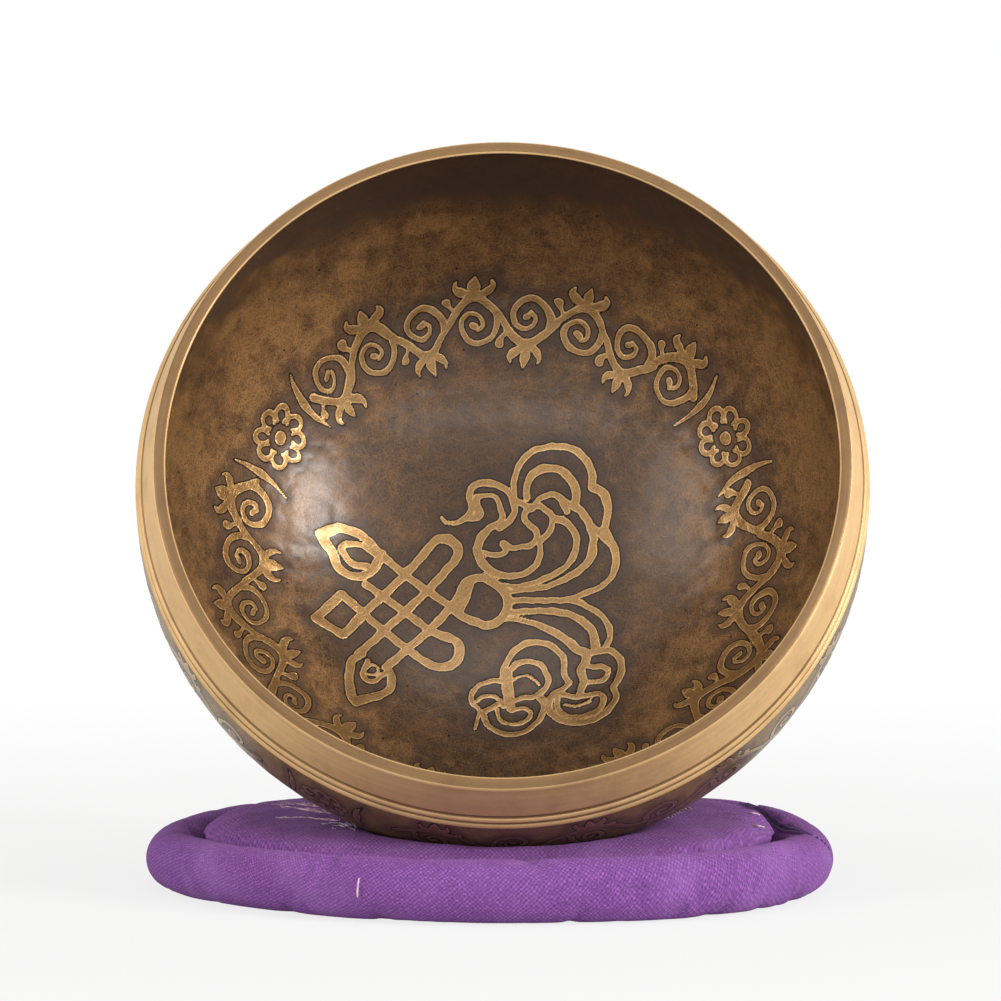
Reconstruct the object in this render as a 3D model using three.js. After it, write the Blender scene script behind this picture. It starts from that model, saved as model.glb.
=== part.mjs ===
// A singing bowl of hammered and turned bronze, tipped forward on its round padded cushion.
// Millimetres, +Z up. The origin is the centre of the cushion's flat underside.
// The bowl's mouth faces -Y.

import * as THREE from 'three';

// Bowl, measured as it stands upright
const rimInnerRadius = 60;
const lipWidth = 2.5;
const lipInnerBevel = 0.35;
const lipOuterBevel = 0.5;
const bellyBulge = 3.7; // how far the widest level stands outside the lip
const bellyDepth = 18; // from the lip down to the widest level
const bellyWall = 2.9;
const bowlHeight = 68.7;
const baseThickness = 3;
const footRadius = 17; // the base is flattened by hammering, with no ring

// Turned band under the lip, which ends in two beads
const bandDepth = 8.3;
const bandInset = 0.45; // how far the lathe cut the band's foot below the hammered wall
const beadCount = 2;
const beadRadius = 0.5;
const beadPitch = 1.5;

// Cushion
const cushionRadius = 62.5;
const rollRadius = 5.4;
const rollFlattening = 0.2; // how far the roll is pressed flat on what it lies on
const crownHeight = 12; // top of the padded centre
const baseFlatRadius = 44;
const clothThickness = 0.7;
const clothGap = 0.3;
const seamTab = 0.65; // how far the panels' edges reach into the roll's seam
const centreToRoll = 0.7; // open groove between the padded centre and the roll

// How the bowl rests on the cushion
const bowlTilt = THREE.MathUtils.degToRad(65.5); // from upright, towards -Y
const bowlForward = 14.9; // its lowest point lies this far in front of the cushion's centre
const bowlSideways = 2.5;
const bowlSink = 4.7; // how deep it presses into the padded centre
const seatGap = 0.3;
const dentBlend = 2; // the cloth rounds into the dent over about this height

// Roundness
const bowlSides = 60;
const cushionSides = 44;

// Sizes worked out from the values above
const lipOuterRadius = rimInnerRadius + lipWidth;
const bellyRadius = lipOuterRadius + bellyBulge;
const innerBellyRadius = bellyRadius - bellyWall;
const bellyHeight = bowlHeight - bellyDepth;
const outerUpperAxis = bellyDepth / Math.sqrt(1 - (lipOuterRadius / bellyRadius) ** 2);
const outerLowerAxis = bellyHeight / Math.sqrt(1 - (footRadius / bellyRadius) ** 2);
const innerUpperAxis = bellyDepth / Math.sqrt(1 - (rimInnerRadius / innerBellyRadius) ** 2);
const innerLowerAxis = bellyHeight - baseThickness;
const firstBeadDepth = bandDepth + beadRadius;
const beadsEndDepth = firstBeadDepth + (beadCount - 1) * beadPitch + beadRadius;

const rollCentreRadius = cushionRadius - rollRadius;
const seamHeight = rollRadius - rollFlattening;
const centreRadius = cushionRadius - 2 * rollRadius - centreToRoll;
const seamTabRadius = cushionRadius - 2 * rollRadius + seamTab;
const seamHalfGap = clothGap / 2;

// A colour written as the eye sees it, with the finish that goes with it
function material(colour, roughness, metalness) {
  return new THREE.MeshStandardMaterial({ color: new THREE.Color(colour), roughness, metalness });
}

const bronze = material('#8a6a3d', 0.35, 1);
const twill = material('#834fa0', 0.95, 0);
const cotton = material('#e4dccb', 1, 0);

// Turns a closed half section, given as [radius, height], about +Z
function turned(section, sides) {
  const points = section.map(([radius, height]) => new THREE.Vector2(radius, height));
  return new THREE.LatheGeometry(points, sides).rotateX(Math.PI / 2);
}

function named(name, geometry, finish) {
  const mesh = new THREE.Mesh(geometry, finish);
  mesh.name = name;
  return mesh;
}

// Steps from a start to an end value, with both ends
function steps(start, end, count) {
  return Array.from({ length: count + 1 }, (_, i) => start + ((end - start) * i) / count);
}

// Radius of an elliptical wall at a depth below the lip
function wallRadius(depth, widest, upperAxis, lowerAxis) {
  const axis = depth < bellyDepth ? upperAxis : lowerAxis;
  return widest * Math.sqrt(Math.max(0, 1 - ((depth - bellyDepth) / axis) ** 2));
}

function outerRadius(depth) {
  return wallRadius(depth, bellyRadius, outerUpperAxis, outerLowerAxis);
}

function innerRadius(depth) {
  return wallRadius(depth, innerBellyRadius, innerUpperAxis, innerLowerAxis);
}

// The lathe's cut below the lip: a straight taper, then a line that runs out into the wall
function cutRadius(depth) {
  const foot = outerRadius(bandDepth) - bandInset;
  const share = (depth - bandDepth) / (beadsEndDepth - bandDepth);
  return foot + (outerRadius(beadsEndDepth) - foot) * share;
}

// Half-round bead that stands on the lathe's cut
function bead(depth) {
  const sweep = steps(-Math.PI / 2, Math.PI / 2, 4);
  return sweep.map((angle) => {
    const along = depth + beadRadius * Math.sin(angle);
    return [cutRadius(along) + beadRadius * Math.cos(angle), along];
  });
}

// Section of the bowl from the axis inside, over the lip, to the axis below; depths are below the lip
function bowlSection() {
  const floorDepth = bowlHeight - baseThickness;
  const section = [[0, floorDepth]];
  for (const angle of steps(0, Math.PI / 2, 14).slice(1)) {
    section.push([innerBellyRadius * Math.sin(angle), bellyDepth + innerLowerAxis * Math.cos(angle)]);
  }
  for (const depth of steps(bellyDepth, lipInnerBevel, 4).slice(1)) {
    section.push([innerRadius(depth), depth]);
  }
  section.push([rimInnerRadius + lipInnerBevel, 0]);
  section.push([lipOuterRadius - lipOuterBevel, 0]);
  section.push([lipOuterRadius, lipOuterBevel]);
  for (let i = 0; i < beadCount; i += 1) {
    section.push(...bead(firstBeadDepth + i * beadPitch));
  }
  for (const depth of steps(beadsEndDepth, bellyDepth, 3).slice(1)) {
    section.push([outerRadius(depth), depth]);
  }
  const footAngle = Math.asin(footRadius / bellyRadius);
  for (const angle of steps(Math.PI / 2, footAngle, 12).slice(1)) {
    section.push([bellyRadius * Math.sin(angle), bellyDepth + outerLowerAxis * Math.cos(angle)]);
  }
  section.push([0, bowlHeight]);
  return section;
}

function makeBowl() {
  const section = bowlSection().map(([radius, depth]) => [radius, bowlHeight - depth]);
  return named('singing_bowl', turned(section.reverse(), bowlSides), bronze);
}

// The belly's centre, and the lowest point of the tipped bowl seen from there
const tiltSine = Math.sin(bowlTilt);
const tiltCosine = Math.cos(bowlTilt);
const bellyToLowest = Math.hypot(bellyRadius * tiltSine, outerLowerAxis * tiltCosine);
const lowestForward = ((bellyRadius ** 2 - outerLowerAxis ** 2) * tiltSine * tiltCosine) / bellyToLowest;
const bellyCentre = new THREE.Vector3(
  bowlSideways,
  lowestForward - bowlForward,
  crownHeight - bowlSink + bellyToLowest,
);

// Height of the tipped bowl's underside over a place on the cushion
function bowlUnderside(x, y) {
  const across = x - bellyCentre.x;
  const back = y - bellyCentre.y;
  const wide = 1 / bellyRadius ** 2;
  const flatter = 1 / outerLowerAxis ** 2 - wide;
  const a = wide + flatter * tiltCosine ** 2;
  const b = -2 * flatter * back * tiltSine * tiltCosine;
  const c = (across ** 2 + back ** 2) * wide + flatter * (back * tiltSine) ** 2 - 1;
  const root = b ** 2 - 4 * a * c;
  return root < 0 ? Infinity : bellyCentre.z - (b + Math.sqrt(root)) / (2 * a);
}

// Height of the padded centre before the bowl presses it
function padTop(radius) {
  const fall = 1 - Math.min(1, radius / centreRadius) ** 5;
  return seamHeight + (crownHeight - seamHeight) * fall ** 0.45;
}

// How far the bowl presses the cloth down at a place, rounded where the dent begins
function dentDepth(x, y) {
  const free = padTop(Math.hypot(x, y));
  const pressed = bowlUnderside(x, y) - seatGap;
  const share = THREE.MathUtils.clamp(0.5 + (pressed - free) / (2 * dentBlend), 0, 1);
  const lowered = share === 1 ? free : THREE.MathUtils.lerp(pressed, free, share);
  return free - lowered + dentBlend * share * (1 - share);
}

// Lowers what lies above a height to fit under the bowl
function pressed(geometry, above) {
  const places = geometry.attributes.position;
  for (let i = 0; i < places.count; i += 1) {
    const z = places.getZ(i);
    if (z > above) {
      places.setZ(i, z - dentDepth(places.getX(i), places.getY(i)));
    }
  }
  geometry.computeVertexNormals();
  return geometry;
}

// Half section of a puffed disc's upper side, from the axis out; inset by a thickness
function puffedSide(inset, edgeHeight) {
  const radius = centreRadius - inset;
  const crown = crownHeight - inset - edgeHeight;
  return steps(0, 1, 12).map((share) => {
    const reach = 1 - (1 - share) ** 1.7;
    return [radius * reach, edgeHeight + crown * (1 - reach ** 5) ** 0.45];
  });
}

// Half section of the underside, flat where it lies and rounded up to the seam
function flatSide(inset, edgeHeight) {
  const reach = centreRadius - inset - baseFlatRadius;
  const rounded = steps(0, Math.PI / 2, 4).map((angle) => [
    baseFlatRadius + reach * Math.sin(angle),
    edgeHeight - (edgeHeight - inset) * Math.cos(angle),
  ]);
  return [[0, inset], ...rounded];
}

// Cloth disc over the padded centre, with its edge held in the roll's seam
function makeCentrePanel() {
  const tabTop = seamHeight + seamHalfGap + clothThickness;
  const tabBottom = seamHeight + seamHalfGap;
  const section = [
    ...puffedSide(clothThickness, tabBottom),
    [seamTabRadius, tabBottom],
    [seamTabRadius, tabTop],
    ...puffedSide(0, tabTop).reverse(),
  ];
  return named('centre_panel', pressed(turned(section, cushionSides), seamHeight), twill);
}

// Cloth disc below, which the cushion lies on
function makeBasePanel() {
  const tabTop = seamHeight - seamHalfGap;
  const tabBottom = seamHeight - seamHalfGap - clothThickness;
  const section = [
    ...flatSide(0, tabBottom),
    [seamTabRadius, tabBottom],
    [seamTabRadius, tabTop],
    ...flatSide(clothThickness, tabTop).reverse(),
  ];
  return named('base_panel', turned(section, cushionSides), twill);
}

// Cotton wadding between the two discs
function makeCentreWadding() {
  const inset = clothThickness + clothGap;
  const section = [
    ...flatSide(inset, seamHeight - seamHalfGap),
    ...puffedSide(inset, seamHeight + seamHalfGap).reverse(),
  ];
  return named('centre_wadding', pressed(turned(section, cushionSides), seamHeight), cotton);
}

// Points round the roll's section, no lower than a floor
function rollArc(radius, from, to, count, floor) {
  return steps(from, to, count).map((angle) => [
    rollCentreRadius + radius * Math.cos(angle),
    Math.max(floor, seamHeight + radius * Math.sin(angle)),
  ]);
}

// Cloth tube round the edge, open along its inner seam where the panels' edges go in
function makeRollCover() {
  const lip = Math.asin((seamHalfGap + clothThickness + clothGap) / rollRadius);
  const end = Math.PI - lip;
  const outside = rollArc(rollRadius, -end, end, 14, 0);
  const inside = rollArc(rollRadius - clothThickness, end, -end, 14, clothThickness);
  const section = [...outside, ...inside, outside[0]];
  return named('roll_cover', turned(section, cushionSides), twill);
}

// Cotton roll that fills the tube
function makeRollStuffing() {
  const inset = clothThickness + clothGap;
  const section = rollArc(rollRadius - inset, -Math.PI, Math.PI, 12, inset);
  return named('roll_stuffing', turned(section, cushionSides), cotton);
}

const cushion = new THREE.Group();
cushion.add(makeBasePanel(), makeCentreWadding(), makeCentrePanel(), makeRollStuffing(), makeRollCover());

// The bowl stands on its base in a group of its own, which is tipped about the belly's centre
const tipped = new THREE.Group();
const bowl = makeBowl();
bowl.position.z = -bellyHeight;
tipped.add(bowl);
tipped.rotation.x = bowlTilt;
tipped.position.copy(bellyCentre);

const group = new THREE.Group();
group.add(cushion, tipped);
export default group;
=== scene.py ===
"""A hammered bronze singing bowl, tipped forward on its round padded cushion.

Shapes are worked out in millimetres and turned to metres where a mesh is made.
The bowl is modelled upright, with its lip's plane at height 0, and then tipped into its place.
"""

import math

import bpy
import numpy as np
from mathutils import Matrix, Vector


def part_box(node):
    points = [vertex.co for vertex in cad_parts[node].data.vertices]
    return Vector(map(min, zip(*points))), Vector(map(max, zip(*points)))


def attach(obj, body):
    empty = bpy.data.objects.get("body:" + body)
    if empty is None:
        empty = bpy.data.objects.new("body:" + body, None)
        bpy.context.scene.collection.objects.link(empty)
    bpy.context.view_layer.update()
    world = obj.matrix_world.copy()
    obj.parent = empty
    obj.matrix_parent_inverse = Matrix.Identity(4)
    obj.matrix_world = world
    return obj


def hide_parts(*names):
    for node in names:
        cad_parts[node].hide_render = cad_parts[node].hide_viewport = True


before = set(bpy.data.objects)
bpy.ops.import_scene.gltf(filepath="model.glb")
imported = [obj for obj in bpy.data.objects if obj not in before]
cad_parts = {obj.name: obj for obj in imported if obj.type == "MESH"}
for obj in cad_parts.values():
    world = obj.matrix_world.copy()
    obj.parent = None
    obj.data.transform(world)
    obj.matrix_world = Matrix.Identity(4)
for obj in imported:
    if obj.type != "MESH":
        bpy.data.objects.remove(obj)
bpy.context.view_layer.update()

MM = 0.001

# Camera, found by laying the CAD outline over the photograph
CAMERA_PLACE = (0.00212, -0.9807, 0.1154)
CAMERA_TILT = math.radians(87.36)
CAMERA_LENS = 194.0
CAMERA_SENSOR = 36.0

# Bowl, measured as it stands upright
RIM_INNER_RADIUS = 60.0
LIP_WIDTH = 2.5
BELLY_BULGE = 3.7
BELLY_DEPTH = 18.0
BELLY_WALL = 2.9
BOWL_HEIGHT = 68.7
BASE_THICKNESS = 3.0
FOOT_RADIUS = 17.0
BAND_DEPTH = 8.3
BAND_INSET = 0.45
BEAD_COUNT = 2
BEAD_RADIUS = 0.5
BEAD_PITCH = 1.5

# How the bowl rests on the cushion
BOWL_TILT = math.radians(65.5)
BOWL_FORWARD = 14.9
BOWL_SIDEWAYS = 2.5
BOWL_SINK = 4.7
SEAT_GAP = 0.3
DENT_BLEND = 2.0

# Cushion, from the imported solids
ROLL_FLATTENING = 0.2
CROWN_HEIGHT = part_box("centre_wadding")[1].z / MM + 1.0
CUSHION_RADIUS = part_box("roll_cover")[1].y / MM
ROLL_RADIUS = (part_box("roll_cover")[1].z / MM + ROLL_FLATTENING) / 2
CENTRE_TO_ROLL = 0.7
BASE_FLAT_RADIUS = 44.0

# Sizes worked out from the values above
LIP_OUTER_RADIUS = RIM_INNER_RADIUS + LIP_WIDTH
BELLY_RADIUS = LIP_OUTER_RADIUS + BELLY_BULGE
INNER_BELLY_RADIUS = BELLY_RADIUS - BELLY_WALL
BELLY_HEIGHT = BOWL_HEIGHT - BELLY_DEPTH
OUTER_UPPER_AXIS = BELLY_DEPTH / math.sqrt(1 - (LIP_OUTER_RADIUS / BELLY_RADIUS) ** 2)
OUTER_LOWER_AXIS = BELLY_HEIGHT / math.sqrt(1 - (FOOT_RADIUS / BELLY_RADIUS) ** 2)
INNER_UPPER_AXIS = BELLY_DEPTH / math.sqrt(1 - (RIM_INNER_RADIUS / INNER_BELLY_RADIUS) ** 2)
INNER_LOWER_AXIS = BELLY_HEIGHT - BASE_THICKNESS
FIRST_BEAD_DEPTH = BAND_DEPTH + BEAD_RADIUS
BEADS_END_DEPTH = FIRST_BEAD_DEPTH + (BEAD_COUNT - 1) * BEAD_PITCH + BEAD_RADIUS
ROLL_CENTRE_RADIUS = CUSHION_RADIUS - ROLL_RADIUS
SEAM_HEIGHT = ROLL_RADIUS - ROLL_FLATTENING
CENTRE_RADIUS = CUSHION_RADIUS - 2 * ROLL_RADIUS - CENTRE_TO_ROLL

TILT_SINE = math.sin(BOWL_TILT)
TILT_COSINE = math.cos(BOWL_TILT)
BELLY_TO_LOWEST = math.hypot(BELLY_RADIUS * TILT_SINE, OUTER_LOWER_AXIS * TILT_COSINE)
LOWEST_FORWARD = (BELLY_RADIUS**2 - OUTER_LOWER_AXIS**2) * TILT_SINE * TILT_COSINE / BELLY_TO_LOWEST
BELLY_CENTRE = np.array(
    [BOWL_SIDEWAYS, LOWEST_FORWARD - BOWL_FORWARD, CROWN_HEIGHT - BOWL_SINK + BELLY_TO_LOWEST]
)


# Camera
def make_camera():
    data = bpy.data.cameras.new("camera")
    data.lens = CAMERA_LENS
    data.sensor_width = CAMERA_SENSOR
    camera = bpy.data.objects.new("camera", data)
    camera.location = CAMERA_PLACE
    camera.rotation_euler = (CAMERA_TILT, 0, 0)
    bpy.context.collection.objects.link(camera)
    bpy.context.scene.camera = camera
    bpy.context.scene.view_settings.view_transform = "Standard"


# Materials
def linear(code):
    """An sRGB hex colour as the linear numbers that a shader takes."""
    shares = [int(code[i : i + 2], 16) / 255 for i in (1, 3, 5)]
    return [s / 12.92 if s <= 0.04045 else ((s + 0.055) / 1.055) ** 2.4 for s in shares] + [1.0]


def new_material(name):
    material = bpy.data.materials.new(name)
    material.use_nodes = True
    material.node_tree.nodes.clear()
    return material


def add(owner, kind, *values, out=None, named=None, **settings):
    """Adds a shader node and gives back one of its outputs, the first open one unless out names it.
    Values go to its open inputs in order, or by name. A value that is a socket is linked."""
    made = owner.node_tree.nodes.new("ShaderNode" + kind)
    for name, value in settings.items():
        setattr(made, name, value)
    pairs = list(zip([s for s in made.inputs if s.enabled], values))
    pairs += [(made.inputs[name], value) for name, value in (named or {}).items()]
    for socket, value in pairs:
        if isinstance(value, bpy.types.NodeSocket):
            owner.node_tree.links.new(value, socket)
        elif value is not None:
            socket.default_value = value
    if out:
        return made.outputs[out]
    found = [s for s in made.outputs if s.enabled]
    return found[0] if found else None


def patinated_hammered_bronze(name, smooth, dark, light, rubbed, brass, bitten, coat, metal_share):
    """Bell bronze, hammered, blackened and waxed: a stippled brown whose sheen is the grey of the wax.
    Rubbed hammer marks glow warmer. Etching leaves the ornament proud, sanded to brass and edged dark."""
    m = new_material(name)
    flat = add(m, "Attribute", attribute_name="flat", out="Vector")
    stroke = add(m, "Attribute", attribute_name="stroke", out="Fac")
    # The rubbed attribute carries the rubbing of the hammer marks and the painted shade under the lip
    rub = add(m, "Attribute", attribute_name="rubbed", out="Fac")

    # Scratches from hand polishing are an eighth of a millimetre wide. Some follow the rim, the others
    # run one way here and another there
    drift = add(m, "TexNoise", flat, 1 / 14, 2.0, out="Color")
    bent = add(m, "VectorMath", drift, (4, 4, 4), flat, operation="MULTIPLY_ADD")
    x, y = (add(m, "SeparateXYZ", flat, out=axis) for axis in "XY")
    from_middle = add(m, "VectorMath", flat, operation="LENGTH", out="Value")
    ringed = add(m, "CombineXYZ", x, y, from_middle)
    round_rim = add(m, "Mapping", ringed, named={"Scale": (7, 7, 0.34)}, vector_type="TEXTURE")
    hairs = add(m, "MapRange", add(m, "TexNoise", round_rim, 1.0, 1.0, 0.5), 0.56, 0.68, 0, 0.7)
    for turn, length in ((0.5, 3.15), (2.2, 2.4), (1.3, 3.45), (2.9, 2.7), (1.8, 2.25)):
        size = (length, 0.26, 1)
        run = add(m, "Mapping", bent, (9 * turn, 0, 0), (0, 0, turn), size, vector_type="TEXTURE")
        hair = add(m, "MapRange", add(m, "TexNoise", run, 1.0, 1.0, 0.5), 0.59, 0.67, 0, 1)
        hairs = add(m, "Math", hairs, hair, operation="MAXIMUM")
    stipple = add(m, "TexNoise", flat, 1 / 0.36, 2.0, 0.6)
    crisp = add(m, "MapRange", stipple, 0.36, 0.64, 0, 1)
    blotch = add(m, "TexNoise", bent, 1 / 3.4, 4.0, 0.6)
    clouds = add(m, "TexNoise", flat, 1 / 20, 3.0, 0.55)
    pin = add(m, "TexVoronoi", flat, 1 / 5, out="Distance", feature="F1")
    pinned = add(m, "MapRange", pin, 0.06, 0.035, 0, 1, interpolation_type="SMOOTHSTEP")

    # Sanding left the ground round each stroke smooth and dark; painted shade gives the wall under the lip
    # the same colour
    reached = add(m, "Math", blotch, 3.0, stroke, operation="MULTIPLY_ADD")
    halo = add(m, "MapRange", reached, 4.2, 2.2, 1, 0.35, interpolation_type="SMOOTHSTEP")
    sanded = add(m, "Math", halo, add(m, "MapRange", rub, 0.0, 0.2, 0, 1), operation="MULTIPLY")
    clouded = add(m, "Math", clouds, 0.5, operation="MULTIPLY")
    mottled = add(m, "Math", blotch, 0.5, clouded, operation="MULTIPLY_ADD")
    dotted = add(m, "Math", crisp, 0.5, mottled, operation="MULTIPLY_ADD")
    tone = add(m, "MapRange", dotted, 0.4, 1.05, 0.06, 1)
    stippled = add(m, "Mix", tone, linear(dark), linear(light), data_type="RGBA")
    patina = add(m, "Mix", sanded, linear(smooth), stippled, data_type="RGBA")
    ragged = add(m, "MapRange", add(m, "Math", blotch, rub, operation="ADD"), 0.72, 1.25, 0, 1)
    scored = add(m, "Math", hairs, add(m, "MapRange", ragged, 0, 1, 0.5, 1), operation="MULTIPLY")
    speckled = add(m, "Math", ragged, add(m, "MapRange", crisp, 0, 1, 0.18, 0.7), operation="MULTIPLY")
    bare = add(m, "Math", scored, 0.5, speckled, operation="MULTIPLY_ADD")
    worn = add(m, "Math", bare, sanded, operation="MULTIPLY")
    warm = add(m, "Mix", worn, patina, linear(rubbed), data_type="RGBA")
    ground = add(m, "Mix", pinned, warm, linear(bitten), data_type="RGBA")

    # The stroke attribute is the distance to the stroke's edge in millimetres, below 0 inside it
    fray = add(m, "TexNoise", flat, 1 / 0.5, 2.0)
    outside = add(m, "Math", stroke, 0.11, operation="SUBTRACT")
    edge = add(m, "Math", fray, 0.22, outside, operation="MULTIPLY_ADD")
    raised = add(m, "MapRange", edge, 0.05, -0.05, 0, 1, interpolation_type="SMOOTHSTEP")
    near_edge = add(m, "MapRange", edge, 0.34, 0.14, 0, 1, interpolation_type="SMOOTHSTEP")
    lowered = add(m, "Math", 1.0, raised, operation="SUBTRACT")
    outlined = add(m, "Math", near_edge, lowered, operation="MULTIPLY")
    rim = add(m, "MapRange", edge, -0.3, -0.14, 0, 1, interpolation_type="SMOOTHSTEP")
    sanding = add(m, "Mapping", flat, (0, 0, 0), (0, 0, 0.9), (3, 0.16, 1), vector_type="TEXTURE")
    brushed = add(m, "MapRange", add(m, "TexNoise", sanding, 1.0, 3.0, 0.7), 0.3, 0.7, 0, 1)
    gritty = add(m, "Math", crisp, 0.3, operation="MULTIPLY")
    grain = add(m, "Math", brushed, 0.55, gritty, operation="MULTIPLY_ADD")
    bright = add(m, "Math", grain, rim, operation="MAXIMUM")
    metal = add(m, "Mix", bright, linear(brass[0]), linear(brass[1]), data_type="RGBA")
    coloured = add(m, "Mix", raised, ground, metal, data_type="RGBA")
    edged = add(m, "Mix", outlined, coloured, linear(bitten), data_type="RGBA")

    dull = add(m, "MapRange", scored, 0.1, 1.0, 0.34, 0.52)
    roughness = add(m, "Mix", raised, dull, 0.3, data_type="FLOAT")
    metallic = add(m, "Mix", raised, metal_share, 0.5 + metal_share, data_type="FLOAT")
    grooved = add(m, "Math", outlined, -0.5, operation="MULTIPLY")
    relief = add(m, "Math", raised, 0.5, grooved, operation="MULTIPLY_ADD")
    height = add(m, "Math", scored, 0.9, relief, operation="MULTIPLY_ADD")
    bump = add(m, "Bump", named={"Height": height, "Strength": 0.7, "Distance": 0.045 * MM})
    surface = add(
        m,
        "BsdfPrincipled",
        named={
            "Base Color": edged,
            "Roughness": roughness,
            "Metallic": metallic,
            "Coat Weight": coat,
            "Coat Roughness": 0.23,
            "Specular IOR Level": 0.2,
            "Normal": bump,
        },
    )
    add(m, "OutputMaterial", surface)
    return m


def turned_bronze(name, low, high, tarnish, stain, grain, metallic, roughness):
    """Bell bronze cut on the lathe and left bare: a satin champagne gold with rings too fine to count,
    drawn a ninth of a millimetre apart. They spread its reflections across them. Handling has dulled it."""
    m = new_material(name)
    place = add(m, "TexCoord", out="Object")
    x, y, z = (add(m, "SeparateXYZ", place, out=axis) for axis in "XYZ")
    reach = add(m, "VectorMath", add(m, "CombineXYZ", x, y, 0.0), operation="LENGTH", out="Value")
    cutting = add(m, "CombineXYZ", x, y, add(m, "Math", z, reach, operation="ADD"))
    ring_size = (60 * MM, 60 * MM, 0.11 * MM)
    fine = add(m, "Mapping", cutting, named={"Scale": ring_size}, vector_type="TEXTURE")
    rings = add(m, "TexNoise", fine, 1.0, 3.0, 0.6)
    pass_size = (50 * MM, 50 * MM, 0.9 * MM)
    wide = add(m, "Mapping", cutting, named={"Scale": pass_size}, vector_type="TEXTURE")
    passes = add(m, "TexNoise", wide, 1.0, 2.0)
    smudge = add(m, "TexNoise", place, 1 / (7 * MM), 4.0, 0.6)
    grit = add(m, "TexNoise", place, 1 / (0.5 * MM), 4.0, 0.75)
    stepped = add(m, "Math", passes, 0.55, operation="MULTIPLY")
    cut = add(m, "Math", rings, 0.45, stepped, operation="MULTIPLY_ADD")
    gritty = add(m, "Math", grit, 0.5, operation="SUBTRACT")
    rough_cut = add(m, "Math", gritty, grain, cut, operation="MULTIPLY_ADD")
    share = add(m, "MapRange", rough_cut, 0.3, 0.7, 0, 1)
    metal = add(m, "Mix", share, linear(low), linear(high), data_type="RGBA")
    dimmed = add(m, "MapRange", smudge, 0.45, 0.75, 0, stain, interpolation_type="SMOOTHSTEP")
    colour = add(m, "Mix", dimmed, metal, linear(tarnish), data_type="RGBA")
    dull = add(m, "MapRange", smudge, 0.3, 0.8, roughness - 0.04, roughness + 0.06)
    bump = add(m, "Bump", named={"Height": rough_cut, "Strength": 0.3, "Distance": 0.03 * MM})
    surface = add(
        m,
        "BsdfPrincipled",
        named={
            "Base Color": colour,
            "Roughness": dull,
            "Metallic": metallic,
            "Anisotropic": 0.7,
            "Anisotropic Rotation": 0.25,
            "Tangent": add(m, "Tangent", direction_type="RADIAL", axis="Z"),
            "Normal": bump,
        },
    )
    add(m, "OutputMaterial", surface)
    return m


# Width of one float in the twill, along its thread, in millimetres
YARN = 0.4


def cotton_twill(name, thread, shade, nap):
    """Dyed cotton twill: floats of their own tone in rows both ways across the bias, over dark gaps,
    with a matt nap. The rows are 0.57 mm apart and lean one way a little more."""
    m = new_material(name)
    weave = add(m, "Attribute", attribute_name="weave", out="Vector")
    slub = add(m, "TexNoise", weave, 1 / 1.3, 3.0, out="Color")
    shift = add(m, "VectorMath", slub, (0.75, 0.75, 0), weave, operation="MULTIPLY_ADD")
    half_turn = math.pi / YARN
    leaning = add(m, "VectorMath", shift, (half_turn, -half_turn, 0), operation="DOT_PRODUCT", out="Value")
    crossing = add(m, "VectorMath", shift, (half_turn, half_turn, 0), operation="DOT_PRODUCT", out="Value")
    rows = add(m, "Math", add(m, "Math", leaning, operation="COSINE"), 0.56, operation="MULTIPLY")
    crossed = add(m, "Math", crossing, operation="COSINE")
    floats = add(m, "Math", crossed, -0.44, rows, operation="MULTIPLY_ADD")
    counted = add(m, "VectorMath", shift, (1 / YARN, 1 / YARN, 0), operation="MULTIPLY")
    cell = add(m, "VectorMath", counted, operation="FLOOR")
    own_tone = add(m, "TexWhiteNoise", cell, noise_dimensions="3D")
    fibre = add(m, "TexNoise", weave, 1 / 0.4, 4.0, 0.75)
    lifted = add(m, "Math", own_tone, 0.3, 0.06, operation="MULTIPLY_ADD")
    pile = add(m, "Math", floats, lifted, operation="MULTIPLY")
    toned = add(m, "Math", own_tone, 0.14, pile, operation="MULTIPLY_ADD")
    fuzzy = add(m, "Math", fibre, 0.9, toned, operation="MULTIPLY_ADD")
    share = add(m, "MapRange", fuzzy, 0.14, 0.9, 0, 1)
    lit = add(m, "Mix", share, linear(shade), linear(thread), data_type="RGBA")
    fade = add(m, "TexNoise", weave, 1 / 14, 3.0)
    faded = add(m, "MapRange", fade, 0.4, 0.75, 0, 0.22, interpolation_type="SMOOTHSTEP")
    rubbed = add(m, "Mix", faded, lit, linear(nap), data_type="RGBA")
    fluff = add(m, "TexNoise", weave, 1 / 0.5, 3.0, 0.6)
    lint = add(m, "MapRange", fluff, 0.72, 0.8, 0, 0.6, interpolation_type="SMOOTHSTEP")
    colour = add(m, "Mix", lint, rubbed, linear(nap), data_type="RGBA")
    bump = add(m, "Bump", named={"Height": fuzzy, "Strength": 0.8, "Distance": 0.12 * MM})
    surface = add(
        m,
        "BsdfPrincipled",
        named={
            "Base Color": colour,
            "Roughness": 0.95,
            "Specular IOR Level": 0.15,
            "Sheen Weight": 0.12,
            "Sheen Roughness": 0.6,
            "Sheen Tint": linear("#d3a8e2"),
            "Normal": bump,
        },
    )
    add(m, "OutputMaterial", surface)
    return m


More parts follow.
